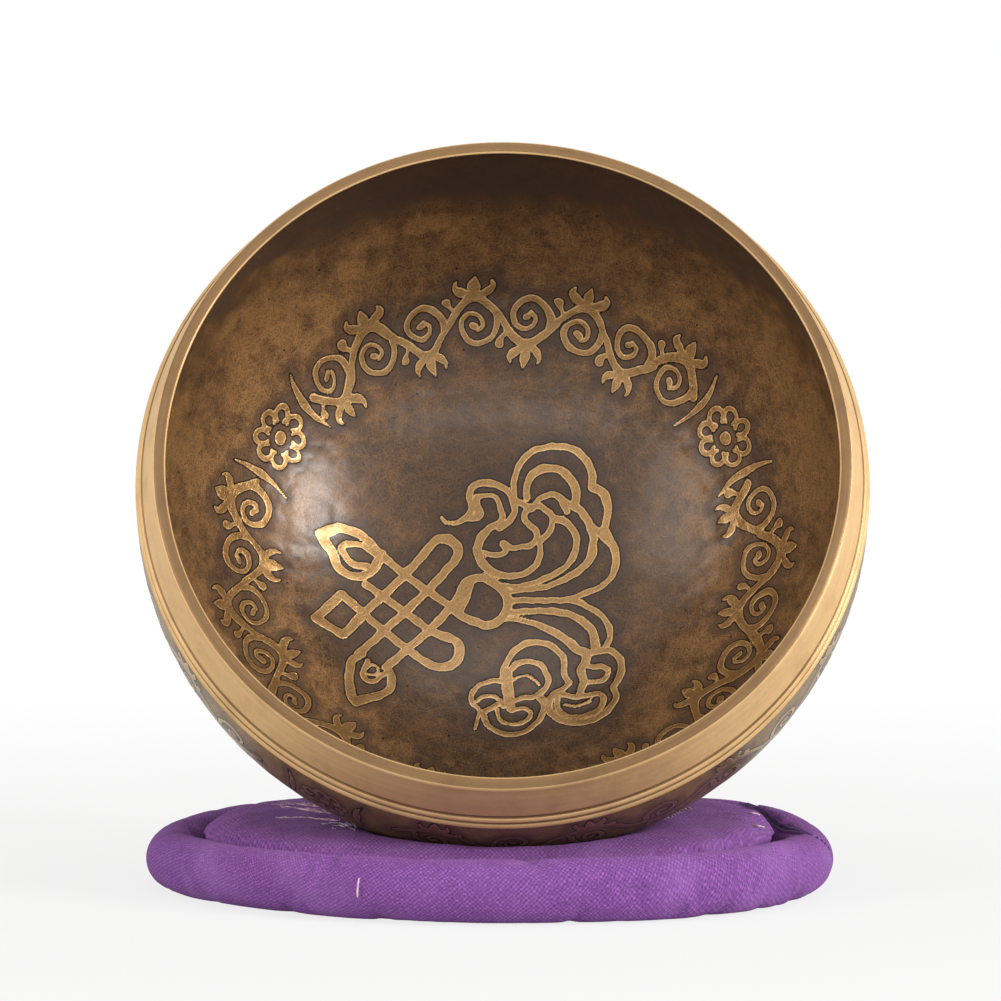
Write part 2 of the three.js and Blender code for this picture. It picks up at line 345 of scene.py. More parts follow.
def spun_cotton(name, colour, shade, ply):
    """Cotton sewing thread: matt, with the plies' twist showing as fine slanting shade."""
    m = new_material(name)
    place = add(m, "TexCoord", out="Object")
    ply_size = (ply * MM, 2 * MM, 2 * MM)
    slant = (0.5, 0.3, 0.7)
    twist = add(m, "Mapping", place, (0, 0, 0), slant, ply_size, vector_type="TEXTURE")
    plies = add(m, "TexNoise", twist, 1.0, 2.0)
    share = add(m, "MapRange", plies, 0.35, 0.65, 0, 1)
    dyed = add(m, "Mix", share, linear(shade), linear(colour), data_type="RGBA")
    bump = add(m, "Bump", named={"Height": plies, "Strength": 0.5, "Distance": 0.05 * MM})
    surface = add(
        m,
        "BsdfPrincipled",
        named={"Base Color": dyed, "Roughness": 0.8, "Sheen Weight": 0.2, "Normal": bump},
    )
    add(m, "OutputMaterial", surface)
    return m


def loose_cotton(name, colour, shade):
    """Raw cotton filling: soft off-white wads with grey hollows."""
    m = new_material(name)
    place = add(m, "TexCoord", out="Object")
    wads = add(m, "TexNoise", place, 1 / (3 * MM), 5.0, 0.65)
    fluffy = add(m, "Mix", wads, linear(shade), linear(colour), data_type="RGBA")
    bump = add(m, "Bump", named={"Height": wads, "Strength": 0.6, "Distance": 0.6 * MM})
    surface = add(
        m,
        "BsdfPrincipled",
        named={"Base Color": fluffy, "Roughness": 1.0, "Sheen Weight": 0.3, "Normal": bump},
    )
    add(m, "OutputMaterial", surface)
    return m


# Meshes
def make_object(name, points, faces, materials, scale=MM, matrix=None):
    """A mesh object from points in millimetres and faces as lists of indices."""
    mesh = bpy.data.meshes.new(name)
    mesh.from_pydata((np.asarray(points) * scale).tolist(), [], faces)
    mesh.polygons.foreach_set("use_smooth", np.ones(len(mesh.polygons), bool))
    for material in materials:
        mesh.materials.append(material)
    made = bpy.data.objects.new(name, mesh)
    if matrix is not None:
        made.matrix_world = matrix
    bpy.context.collection.objects.link(made)
    return made


def set_attribute(mesh, name, values):
    made = mesh.attributes.new(name, "FLOAT", "POINT")
    made.data.foreach_set("value", np.asarray(values, np.float32))


def wobble(points, wavelength, seed, waves=9):
    """Smooth irregularity from -1 to 1 over points in any number of dimensions."""
    chance = np.random.default_rng(seed)
    total = np.zeros(len(points))
    for _ in range(waves):
        direction = chance.normal(size=points.shape[1])
        direction *= chance.uniform(0.6, 1.4) * 2 * math.pi / wavelength / np.linalg.norm(direction)
        total += np.sin(points @ direction + chance.uniform(0, 2 * math.pi))
    return total / math.sqrt(2 * waves)


# Section of the bowl
def wall_radius(depth, widest, upper_axis, lower_axis):
    axis = np.where(np.asarray(depth) < BELLY_DEPTH, upper_axis, lower_axis)
    return widest * np.sqrt(np.maximum(0, 1 - ((depth - BELLY_DEPTH) / axis) ** 2))


def outer_radius(depth):
    return wall_radius(depth, BELLY_RADIUS, OUTER_UPPER_AXIS, OUTER_LOWER_AXIS)


def inner_radius(depth):
    return wall_radius(depth, INNER_BELLY_RADIUS, INNER_UPPER_AXIS, INNER_LOWER_AXIS)


def cut_radius(depth):
    """The lathe's cut: a line from the band's foot that runs out into the wall below the beads."""
    foot = outer_radius(BAND_DEPTH) - BAND_INSET
    share = (depth - BAND_DEPTH) / (BEADS_END_DEPTH - BAND_DEPTH)
    return foot + (outer_radius(BEADS_END_DEPTH) - foot) * share


# The bowl's surface is two round caps, inside and outside, joined by rings over the lip
INSIDE_CELLS = 400
OUTSIDE_CELLS = 200
WALL_STEP = 0.45
OUTER_CAP_DEPTH = 28.0
INNER_EDGE = 0.24
OUTER_EDGE = 0.95
EDGE_TURN = 0.03
INSIDE, LIP, BAND, OUTSIDE = range(4)


def round_grid(cells):
    """A square grid pressed into a disc: each vertex's share of the radius and its angle."""
    line = np.linspace(-1, 1, cells + 1)
    a, b = np.meshgrid(line, line, indexing="ij")
    wide = np.abs(a) > np.abs(b)
    radius = np.where(wide, a, b)
    safe = np.where(radius == 0, 1, radius)
    turn = np.where(wide, math.pi / 4 * b / safe, math.pi / 2 - math.pi / 4 * a / safe)
    x, y = radius * np.cos(turn), radius * np.sin(turn)
    return np.hypot(x, y).ravel(), np.arctan2(y, x).ravel()


def grid_faces(cells, first):
    corner = (np.arange(cells)[:, None] * (cells + 1) + np.arange(cells)).ravel() + first
    return np.stack([corner, corner + cells + 1, corner + cells + 2, corner + 1], axis=1)


def grid_edge(cells, first):
    """The grid's outer vertices, anticlockwise from the corner at minus 45 degrees."""
    row = cells + 1
    side = np.arange(cells)
    return first + np.concatenate(
        [cells * row + side, (cells - side) * row + cells, cells - side, side * row]
    )


def ring_faces(lower, upper):
    """Quads between two rings of as many vertices each."""
    return np.stack([lower, upper, np.roll(upper, -1), np.roll(lower, -1)], axis=1)


def halving_faces(fine, coarse):
    """Triangles from a ring to one with half as many vertices."""
    start, middle, end = fine[0::2], fine[1::2], np.roll(fine[0::2], -1)
    after = np.roll(coarse, -1)
    return np.concatenate(
        [
            np.stack([start, coarse, middle], axis=1),
            np.stack([middle, coarse, after], axis=1),
            np.stack([middle, after, end], axis=1),
        ]
    )


def outer_cap_section(share):
    """Radius and depth of the outside below the rings, by share of the way out from the axis."""
    start = math.asin(FOOT_RADIUS / BELLY_RADIUS)
    end = math.acos((OUTER_CAP_DEPTH - BELLY_DEPTH) / OUTER_LOWER_AXIS)
    angles = np.linspace(start, end, 60)
    radius = np.concatenate([[0.0], BELLY_RADIUS * np.sin(angles)])
    depth = np.concatenate([[BOWL_HEIGHT], BELLY_DEPTH + OUTER_LOWER_AXIS * np.cos(angles)])
    along = np.concatenate([[0.0], np.cumsum(np.hypot(np.diff(radius), np.diff(depth)))])
    way = share * along[-1]
    return np.interp(way, along, radius), np.interp(way, along, depth)


def inner_rows():
    """Rows above the belly inside, up to the middle of the lip, as (radius, depth, finish)."""
    depths = np.linspace(BELLY_DEPTH, INNER_EDGE, int(BELLY_DEPTH / WALL_STEP))[1:-1]
    rows = [(float(inner_radius(d)), d, INSIDE) for d in depths]
    rows += [
        (RIM_INNER_RADIUS, INNER_EDGE + EDGE_TURN, INSIDE),
        (RIM_INNER_RADIUS + EDGE_TURN, INNER_EDGE - EDGE_TURN, BAND),
        (RIM_INNER_RADIUS + INNER_EDGE - EDGE_TURN, EDGE_TURN, BAND),
        (RIM_INNER_RADIUS + INNER_EDGE + EDGE_TURN, 0.0, BAND),
    ]
    rows += [(RIM_INNER_RADIUS + LIP_WIDTH * share, 0.0, LIP) for share in (0.2, 0.4, 0.5)]
    return rows


def outer_rows():
    """Rows from the lip's outer half, down the band and beads, to where the outer cap takes over."""
    middle, start = RIM_INNER_RADIUS + LIP_WIDTH / 2, LIP_OUTER_RADIUS - OUTER_EDGE
    rows = [(middle + (start - middle) * share, 0.0, LIP) for share in (0.3, 0.7)]
    for angle in np.radians(np.linspace(0, 90, 9)):
        finish = LIP if angle < 0.6 else BAND
        rows.append((start + OUTER_EDGE * math.sin(angle), OUTER_EDGE * (1 - math.cos(angle)), finish))
    band_foot = float(cut_radius(BAND_DEPTH))
    for share in np.linspace(0, 1, 16)[1:-1]:
        depth = OUTER_EDGE + (BAND_DEPTH - OUTER_EDGE) * share
        rows.append((LIP_OUTER_RADIUS + (band_foot - LIP_OUTER_RADIUS) * share, depth, BAND))
    for i in range(BEAD_COUNT):
        for angle in np.linspace(-math.pi / 2, math.pi / 2, 9):
            along = FIRST_BEAD_DEPTH + i * BEAD_PITCH + BEAD_RADIUS * math.sin(angle)
            finish = BAND if abs(angle) < 1 else LIP
            rows.append((float(cut_radius(along)) + BEAD_RADIUS * math.cos(angle), along, finish))
    count = int((OUTER_CAP_DEPTH - BEADS_END_DEPTH) / WALL_STEP)
    depths = np.linspace(BEADS_END_DEPTH, OUTER_CAP_DEPTH, count)[1:]
    return rows + [(float(outer_radius(d)), d, OUTSIDE) for d in depths]


def bowl_surface():
    """The bowl's vertices as radius, angle and depth, which of them are inside, its faces and finishes."""
    share, angle = round_grid(INSIDE_CELLS)
    sweep = share * math.pi / 2
    radius = [INNER_BELLY_RADIUS * np.sin(sweep)]
    depth = [BELLY_DEPTH + INNER_LOWER_AXIS * np.cos(sweep)]
    angles = [angle]
    quads = [grid_faces(INSIDE_CELLS, 0)]
    finish = [np.full(len(quads[0]), INSIDE)]
    last = grid_edge(INSIDE_CELLS, 0)
    count = len(share)
    sides = 4 * INSIDE_CELLS
    turn = -math.pi / 4 + np.arange(sides) * 2 * math.pi / sides
    for row_radius, row_depth, kind in inner_rows():
        ring = count + np.arange(sides)
        radius.append(np.full(sides, row_radius))
        depth.append(np.full(sides, row_depth))
        angles.append(turn)
        quads.append(ring_faces(last, ring))
        finish.append(np.full(sides, kind))
        last, count = ring, count + sides
    inside_count = count

    # The rings have half as many vertices from the middle of the lip on
    turn = turn[::2]
    sides = len(turn)
    wedges = halving_faces(last, count + np.arange(sides))
    last = None
    for row_radius, row_depth, kind in outer_rows():
        ring = count + np.arange(sides)
        radius.append(np.full(sides, row_radius))
        depth.append(np.full(sides, row_depth))
        angles.append(turn)
        if last is not None:
            quads.append(ring_faces(last, ring))
            finish.append(np.full(sides, kind))
        last, count = ring, count + sides

    # The last ring takes the place of the outer cap's own edge
    share, angle = round_grid(OUTSIDE_CELLS)
    cap_radius, cap_depth = outer_cap_section(share)
    renamed = np.arange(count + len(share))
    renamed[grid_edge(OUTSIDE_CELLS, count)] = last
    quads.append(renamed[grid_faces(OUTSIDE_CELLS, count)[:, ::-1]])
    finish.append(np.full(len(quads[-1]), OUTSIDE))
    finish.append(np.full(len(wedges), LIP))
    radius = np.concatenate(radius + [cap_radius])
    depth = np.concatenate(depth + [cap_depth])
    angle = np.concatenate(angles + [angle])
    quads = np.concatenate(quads)
    used = np.zeros(len(radius), bool)
    used[quads.ravel()] = True
    order = np.cumsum(used) - 1
    inside = np.arange(len(radius)) < inside_count
    faces = order[quads].tolist() + order[wedges].tolist()
    return radius[used], angle[used], depth[used], inside[used], faces, np.concatenate(finish)


# Hammering
def hammered(radius, angle, depth, rows, spacing, size, blow_depth, seed):
    """How deep the hammer has dented each point, and how bright that blow's flat was rubbed."""
    chance = np.random.default_rng(seed)
    points = np.stack([radius * np.cos(angle), radius * np.sin(angle), -depth], axis=1)
    dent = np.zeros(len(points))
    rub = np.zeros(len(points))
    for row_radius, row_depth in rows:
        blows = max(1, int(2 * math.pi * row_radius / spacing))
        start = chance.uniform(0, 2 * math.pi)
        strip = np.nonzero(np.hypot(radius - row_radius, depth - row_depth) < 1.25 * size + 0.2 * spacing)[0]
        strip_points = points[strip]
        for i in range(blows):
            turn = start + 2 * math.pi * (i + chance.uniform(-0.22, 0.22)) / blows
            slip = chance.uniform(-0.2, 0.2) * spacing
            centre = np.array(
                [(row_radius + slip) * math.cos(turn), (row_radius + slip) * math.sin(turn), -row_depth]
            )
            reach = size * chance.uniform(0.85, 1.2)
            blow = blow_depth * chance.uniform(0.5, 1.2)
            shine = chance.uniform(0, 1) ** 1.5
            close = np.abs(strip_points - centre).max(axis=1) < reach
            near = strip[close]
            gap = np.linalg.norm(strip_points[close] - centre, axis=1) / reach
            hollow = np.clip(1 - gap**2, 0, 1) ** 1.5
            dent[near] = np.maximum(dent[near], blow * hollow)
            rub[near] = np.maximum(rub[near], shine * np.clip(1.5 * hollow, 0, 1))
    return dent, rub


def blow_rows(section, spacing):
    """Rows of hammer blows, spaced evenly along a section given as (radius, depth)."""
    radius, depth = section
    along = np.concatenate([[0.0], np.cumsum(np.hypot(np.diff(radius), np.diff(depth)))])
    stops = np.arange(spacing / 2, along[-1], spacing)
    return list(zip(np.interp(stops, along, radius), np.interp(stops, along, depth)))


# Ornament: brush strokes as (widths at the start, middle and end, points), in millimetres
FAR = 3.0


def smooth_line(points, step=0.45):
    """A smooth curve through given points, as a fine polyline."""
    p = np.asarray(points, float)
    if len(p) == 2:
        return p
    ahead, behind = 2 * p[0] - p[1], 2 * p[-1] - p[-2]
    p = np.vstack([ahead, p, behind])
    line = []
    for a, b, c, d in zip(p, p[1:], p[2:], p[3:]):
        reach = np.linalg.norm(c - b)
        pull_in = (c - a) * reach / (np.linalg.norm(c - b) + np.linalg.norm(b - a) + 1e-9)
        pull_out = (d - b) * reach / (np.linalg.norm(d - c) + np.linalg.norm(c - b) + 1e-9)
        for t in np.linspace(0, 1, max(2, int(reach / step)), endpoint=False):
            h = t * t * (3 - 2 * t)
            line.append((1 - h) * b + h * c + t * (1 - t) * ((1 - t) * pull_in - t * pull_out))
    line.append(p[-2])
    return np.array(line)


def brush(field, places, widths, points):
    """Lowers a field of distances by one brush stroke, whose width runs from start through middle to end."""
    line = smooth_line(points)
    share = np.concatenate([[0], np.cumsum(np.linalg.norm(np.diff(line, axis=0), axis=1))])
    half = np.interp(share / share[-1], np.linspace(0, 1, len(widths)), widths) / 2
    low, high = line.min(axis=0) - FAR, line.max(axis=0) + FAR
    near = np.nonzero(((places > low) & (places < high)).all(axis=1))[0]
    spot = places[near]
    best = field[near]
    for start, end, thin, thick in zip(line, line[1:], half, half[1:]):
        along = end - start
        way = np.clip((spot - start) @ along / (along @ along), 0, 1)
        gap = np.linalg.norm(spot - start - way[:, None] * along, axis=1) - thin - (thick - thin) * way
        np.minimum(best, gap, out=best)
    field[near] = best


def circle(x, y, radius, start=0.0, turns=1.0):
    """Points of an arc of a circle, with turns of the full way round."""
    angles = start + np.linspace(0, 2 * math.pi * turns, max(5, int(16 * abs(turns)) + 1))
    return [(x + radius * math.cos(t), y + radius * math.sin(t)) for t in angles]


def spiral(x, y, outer, inner, start, turns):
    """Points of a spiral that winds in from outer to inner."""
    shares = np.linspace(0, 1, int(14 * abs(turns)) + 1)
    return [
        (
            x + (outer + (inner - outer) * s**0.8) * math.cos(start + 2 * math.pi * turns * s),
            y + (outer + (inner - outer) * s**0.8) * math.sin(start + 2 * math.pi * turns * s),
        )
        for s in shares
    ]


# Endless knot with its ribbon clouds, a traditional emblem, across the bowl's floor
KNOT_WIDTH = 1.7
KNOT = [
    # Slanting bars
    ((KNOT_WIDTH,) * 2, [(-27, -7.5), (-18, 2.7), (-12.8, 9.3)]),
    ((KNOT_WIDTH,) * 2, [(-9.5, 5), (-14, -0.5), (-18.5, -5.5), (-22.3, -9.8), (-27, -15.2)]),
    ((KNOT_WIDTH,) * 2, [(-9.5, -3.5), (-13.5, -8.5), (-18, -13.3), (-21.8, -17.5)]),
    ((KNOT_WIDTH,) * 2, [(-23.8, 6.5), (-18.8, 2.4), (-13.8, -1), (-9.5, -3.8)]),
    ((KNOT_WIDTH,) * 2, [(-25.8, -0.5), (-22.3, -2.8), (-18.2, -5.5), (-13.7, -8.8), (-10, -10.5)]),
    ((KNOT_WIDTH,) * 2, [(-27.5, -5.3), (-22.2, -9.8), (-18, -13), (-14, -16), (-11.8, -16.7)]),
    # Loops at the right
    ((1.8, 2.16, 1.8), [(-13, 9), (-11.5, 9.9), (-9, 9), (-8.4, 7), (-9.2, 5.3)]),
    ((1.8, 2.16, 1.8), [
        (-12, -9.6), (-9.5, -10.3), (-8.1, -12), (-8.5, -14.8), (-10.5, -16.4), (-13, -16.3),
        (-15, -15.3),
    ]),
    # Square at the left
    ((1.92, 1.92), [(-26, -6.5), (-30.3, -3.2)]),
    ((1.92, 1.92), [(-30.3, -3.2), (-35, -9)]),
    ((1.92, 1.92), [(-35, -9), (-29.8, -11.6)]),
    ((1.92, 1.92), [(-29.8, -11.6), (-26, -6.5)]),
    # Upper leaf
    ((1.68, 1.92, 2.16), [(-24, 6.8), (-26.5, 9), (-29, 9.7), (-31, 9.9), (-32.6, 9), (-34.3, 8)]),
    ((2.16, 1.8, 1.8), [
        (-34.3, 8), (-33.3, 6.5), (-32, 4.8), (-31, 2.3), (-28.8, 0.9), (-26.5, 1), (-24.6, 2.4),
        (-23.4, 4.5), (-22.8, 6),
    ]),
    ((1.2, 1.32, 1.68), [
        (-24, 5.5), (-26.3, 7), (-28.5, 7.2), (-30.3, 6.3), (-29.5, 4.3), (-27.5, 3), (-25.5, 3.2),
    ]),
    # Lower leaf
    ((1.8, 1.8, 2.04), [
        (-26.3, -15.2), (-28, -16.6), (-28.5, -19), (-28.5, -22), (-28, -24.8), (-27.2, -26),
    ]),
    ((2.04, 1.8, 1.68), [
        (-27.2, -26), (-25.3, -24.8), (-23, -23.8), (-21, -22), (-20.8, -19.5), (-21.7, -17.4),
    ]),
    ((1.2, 1.2, 1.08), [
        (-25.2, -16.5), (-25.8, -18.2), (-26, -19.8), (-25, -20.9), (-23.4, -20.4), (-21.9, -18.6),
    ]),
    ((0.72, 0.72), [
        (-25.4, -18), (-24.4, -17.1), (-23.5, -17.5), (-23.2, -18.5), (-23.8, -19.3),
        (-25.4, -19.3),
    ]),
    # Ring that ties the knot to the clouds
    ((3, 2.76, 2.04), [(-8.3, -3.6), (-7.3, -1), (-6.2, 1.2)]),
    ((1.92, 1.92, 1.92), [
        (-9.5, -3.7), (-8.2, -1.5), (-7, 1.3), (-5.8, 2), (-3.5, 2.3), (-1.2, 1), (0.6, -0.8),
        (1, -2.8), (0.4, -5), (-1.2, -6.8), (-3.5, -7.3), (-5.8, -6.4), (-7.5, -5.7), (-9.5, -3.8),
    ]),
]
UPPER_CLOUD = [
    ((1.3, 1.3, 1.7), [
        (2.2, 18.2), (2.2, 21), (3.2, 24), (5.6, 26.4), (9, 27.1), (12.5, 26.8), (15.5, 24.8),
        (17, 21.8), (17, 19.3),
    ]),
    ((1.8, 1.8, 1.4), [(17, 19.3), (18.8, 18.2), (19.9, 16), (19.8, 13), (19.2, 11)]),
    ((1.8, 1.3, 1.3), [
        (19.2, 11), (20.5, 8.5), (21.5, 5.5), (21, 2.5), (19.2, 0.2), (16, -1.2), (13, -2.2),
        (9, -2.4), (5, -2.2), (1.5, -2.1),
    ]),
    ((1.5, 1.7, 1.9), [
        (4.6, 18), (4.7, 20.3), (6, 22.4), (8.5, 23.3), (11.2, 22.6), (13.2, 20.7), (14, 18.5),
        (13.8, 16.5),
    ]),
    ((1.2, 1.8, 1.1), [
        (6, 16.5), (7.3, 17.8), (9.3, 18.3), (11, 17.6), (12.7, 16.2), (14.5, 15.3), (15.9, 13.6),
        (16.8, 11.3), (17.2, 9), (17, 6.8), (15.9, 4.6), (13.5, 2.7), (10.5, 1.2), (7.5, 0.3),
        (4, -0.1), (1.5, -0.4),
    ]),
    ((1.5, 1.5), [(15.2, 14), (16.8, 12), (18.6, 10.2), (20.3, 8.3)]),
    ((1.4, 1.4), [(11.5, 16.8), (12.2, 14.9)]),
    ((1.3, 1.3), [
        (2.2, 17.8), (4.4, 16.4), (6.5, 16.3), (8.2, 15.6), (9.3, 14.3), (9.4, 12.3), (8.6, 10.8),
        (7.2, 9.8),
    ]),
    ((1.3, 1.3), [
        (6, 16), (4.4, 15.2), (4.2, 13.8), (5.2, 12.6), (6.3, 11.7), (6.5, 10), (5.5, 8.8),
        (3.5, 8.4), (1.8, 8.3), (0.8, 8.8), (0.1, 9.2),
    ]),
    ((1.2, 1.2), [(-3.5, 7.4), (-2, 6.9), (-0.3, 7), (0.7, 7.6), (0.5, 8.6), (-0.1, 9.2)]),
    ((1.6, 1.4, 1.1), [
        (9.7, 13.7), (11.5, 13.3), (13, 12), (13.9, 10.2), (14, 8.3), (13.3, 6), (11.6, 4),
        (9, 2.5), (5.5, 1.1), (2, 0.6), (-0.5, 0.9),
    ]),
    ((1.3, 1.3, 2.0, 1.4, 1.0), [
        (7, 9.5), (7.2, 7.5), (6.4, 5), (4.6, 3.4), (2, 2.7), (-0.5, 3), (-2.9, 4.3), (-4.4, 6.3),
        (-4.7, 8.3), (-4, 10.4), (-2.5, 12), (-0.5, 13.2), (0, 14.5), (-0.4, 16), (-0.6, 17),
        (-1.6, 18.2), (-3.2, 18.4), (-4.6, 18),
    ]),
    ((1.4, 1.4, 1.5, 1.5, 0.8), [
        (-0.5, 12.2), (1.2, 13.4), (2.1, 14.8), (2.2, 16), (1.8, 18), (0.4, 19.6), (-2, 20.6),
        (-4.3, 20.6), (-6, 19.4), (-6.3, 17.8), (-5.8, 16), (-6.2, 14.8), (-7.2, 13.8), (-9, 13),
        (-10.5, 12.9), (-11.6, 13.9),
    ]),
    ((1.5, 2.0, 1.2), [(-4.9, 18), (-5, 16.5), (-4.4, 15), (-5, 14.2), (-7, 14)]),
]
LOWER_CLOUD = [
    ((1.3, 1.3), [
        (1.5, -2.2), (9, -2.4), (13.5, -2.8), (16, -4), (18.5, -6), (20, -8.5), (20.2, -10.8),
        (19.5, -12.5),
    ]),
    ((1.4, 1.6, 1.9), [
        (1.2, -4.8), (4, -4.5), (7.5, -4.5), (11, -4.9), (14, -6.2), (16.3, -8.3), (17.3, -10.7),
        (17.5, -13),
    ]),
    ((1.0, 1.6, 2.0, 1.4), [
        (-0.5, -6.2), (3, -6.2), (7, -7.5), (10, -9.2), (12.5, -11.2), (14.2, -13), (15.6, -13.8),
        (15.5, -16), (14.6, -17.5), (15, -19), (15.3, -20), (14.6, -21.7), (14.5, -23),
    ]),
    ((1.5, 1.6, 1.4), [
        (15.5, -13.8), (18, -13.6), (20.3, -13.6), (22, -15.8), (22.3, -18), (21.6, -20),
        (20.6, -21.6),
    ]),
    ((1.4, 1.6, 1.4), [
        (20.6, -21.6), (21.2, -23.5), (20.5, -25.5), (19, -27.3), (16.5, -28.7), (13.5, -29),
        (11, -28.3), (9.4, -27), (8.6, -25.5), (8.7, -24), (9.7, -22.3), (11.2, -21.4),
        (12.6, -20.1),
    ]),
    ((1.3, 1.5, 1.4), [
        (12.6, -20.1), (11.7, -18.6), (11.6, -16.5), (11.2, -14), (9.6, -12.2), (7.2, -11.1),
        (4.8, -11.1), (2.5, -12.5), (1, -14.6), (0.3, -17), (0, -19),
    ]),
    ((1.2, 1.2), [
        (15.2, -16), (16.3, -16.8), (18.6, -16.9), (19.8, -17.8), (19.5, -19.3), (18.3, -20.1),
        (16.2, -20),
    ]),
    ((1.3, 1.3), [
        (11, -22.3), (12.5, -23), (14.5, -23.2), (16.5, -22.9), (18.2, -22.9), (18.9, -24.1),
        (18, -26.3), (15.8, -27.5), (13, -27.7), (11, -26.8), (10.2, -25), (10.2, -23.2),
    ]),
    ((0.7, 0.8), [(11.5, -24.7), (13.5, -25.3), (15.5, -24.7), (16.4, -24.3)]),
    ((1.3, 1.3), [
        (1.6, -16.7), (3, -15.3), (5, -15), (7, -15.8), (8.4, -17.8), (8.5, -19.8), (7.5, -21.6),
        (6, -22.7), (4, -22.9), (2.5, -23.4),
    ]),
    ((0.7, 0.8), [(2, -19), (3.2, -18.3), (4.8, -18.2), (6.2, -19.2), (6.8, -20.2)]),
    ((1.6, 2.5, 1.8), [(1, -17), (1, -20), (1.2, -23), (1.6, -25.5)]),
    ((1.2, 1.2, 0.8), [
        (0, -19.3), (-2.2, -19.3), (-4.5, -20.3), (-5.8, -22.3), (-5.6, -24.3), (-4.3, -25.8),
        (-4.6, -27.5), (-5.1, -30),
    ]),
    ((1.0, 1.0), [(-4.8, -23.8), (-3.6, -22.7), (-1.8, -22.6), (-0.4, -23.6), (0.2, -25)]),
    ((1.3, 1.3), [
        (-1, -24.4), (-2.5, -25.5), (-3.3, -26), (-3.3, -28), (-1.8, -30), (0.8, -31.2),
        (3.5, -30.9), (5.8, -29.3), (7.3, -27), (7.8, -24.8), (6.8, -23.2),
    ]),
    ((1.0, 1.0), [
        (-1, -25.5), (-0.8, -27.3), (0.5, -28.6), (2.7, -28.9), (4.6, -28), (5.3, -26.4),
        (4, -25.3), (2.2, -25.5),
    ]),
    ((1.0, 0.8), [(7.5, -22.9), (8.6, -23.9)]),
]


def vine_bay(width, side):
    """One bay of a rolling vine, about its own middle: the stem's arch, a curled shoot and a palmette."""
    half = width / 2
    stem = [(x, side * 4.6 * math.cos(math.pi * x / width)) for x in np.linspace(-half, half, 9)]
    shoot = [
        (-4.1, 1.3), (-3.9, -1.2), (-2.6, -3.4), (-0.4, -4.4), (1.9, -3.7), (3.0, -1.7),
        (2.5, 0.5), (0.8, 1.6), (-0.9, 0.8), (-1.2, -0.9), (-0.1, -1.8),
    ]
    bud = [(3.9, 2.4), (5.0, 3.9), (5.2, 4.6)]
    strokes = [((1.5, 2.0, 1.5), stem), ((1.5, 1.3, 0.9), [(x, side * y) for x, y in shoot])]
    for lean in (-1, 1):
        leaf = [(lean * 0.4, 5.2), (lean * 1.9, 5.7), (lean * 3.3, 7.2), (lean * 3.0, 8.3)]
        strokes.append(((1.2, 1.9, 0.6), [(x, side * y) for x, y in leaf]))
    strokes.append(((1.4, 2.4, 0.5), [(0.0, side * 5.0), (0.1, side * 6.9), (0.0, side * 9.0)]))
    strokes.append(((0.9, 0.9, 1.9), [(x, side * y) for x, y in bud]))
    strokes.append(((1.5, 1.4), [(0.35, side * -1.0), (0.75, side * -0.8)]))
    return strokes


def rosette():
    """Eight-petalled flower between two upright leaves, which parts one run of vine from the next."""
    strokes = [((2.4, 2.4), [(-0.2, 0), (0.2, 0)])]
    for i in range(8):
        turn = math.pi * i / 4 + 0.2
        x, y = 4.2 * math.cos(turn), 4.2 * math.sin(turn)
        petal = [
            (x + 1.35 * math.cos(turn + a), y + 1.5 * math.sin(turn + a))
            for a in np.linspace(math.radians(-150), math.radians(150), 9)
        ]
        strokes.append(((0.9, 1.15, 0.9), petal))
    for side in (-1, 1):
        leaf = [(side * 9.3, -7.0), (side * 8.2, -3.0), (side * 8.2, 3.0), (side * 9.3, 7.0)]
        strokes.append(((0.5, 1.9, 0.5), leaf))
    return strokes


VINE_RUNS = 3
BAYS_IN_RUN = 8


def ring_of_vine(field, angle, height, radius, size, seed):
    """Lays vine runs and rosettes right round a wall, given each vertex's angle and height on it."""
    chance = np.random.default_rng(seed)
    cell = 2 * math.pi / (VINE_RUNS * (BAYS_IN_RUN + 2))
    bay_width = cell * radius / size
    for run in range(VINE_RUNS):
        start = run * (BAYS_IN_RUN + 2) * cell - math.pi / 2
        pieces = [(start, rosette())]
        for bay in range(BAYS_IN_RUN):
            pieces.append((start + (bay + 1.5) * cell, vine_bay(bay_width, 1 if bay % 2 == 0 else -1)))
        for middle, strokes in pieces:
            around = (angle - middle + math.pi) % (2 * math.pi) - math.pi
            x, y = around * radius / size, height / size
            near = np.nonzero((np.abs(x) < 14) & (np.abs(y) < 12))[0]
            places = np.stack([x[near] + chance.uniform(-0.06, 0.06) * y[near], y[near]], axis=1)
            bend = [wobble(places, wave, chance.integers(999)) for wave in (8, 7)]
            places += 0.28 * np.stack(bend, axis=1)
            part = field[near] / size
            for widths, points in strokes:
                brush(part, places, np.array(widths) * chance.uniform(0.9, 1.1), points)
            field[near] = part * size


INNER_RING_RADIUS = 48.3
OUTER_RING_DEPTH = 19.0
STROKE_HEIGHT = 0.05
STROKE_TRIM = 0.07
# Depth in millimetres down to which painted shade darkens the wall under the lip, at top and bottom
LIP_SHADE_DEPTH = 24.0

# Hammer blows, in millimetres
INSIDE_ROW_PITCH = 4.8
INSIDE_BLOW_PITCH = 5.0
INSIDE_BLOW_SIZE = 4.0
INSIDE_BLOW_DEPTH = 0.12
OUTSIDE_ROW_PITCH = 6.4
OUTSIDE_BLOW_PITCH = 6.8
OUTSIDE_BLOW_SIZE = 5.2
OUTSIDE_BLOW_DEPTH = 0.14


def floor_to_height(radius):
    """Length along the inside from the middle of the floor out to a radius."""
    sweep = np.linspace(0, math.pi / 2, 400)
    reach, rise = INNER_BELLY_RADIUS * np.sin(sweep), INNER_LOWER_AXIS * np.cos(sweep)
    along = np.concatenate([[0.0], np.cumsum(np.hypot(np.diff(reach), np.diff(rise)))])
    return np.interp(radius, reach, along)


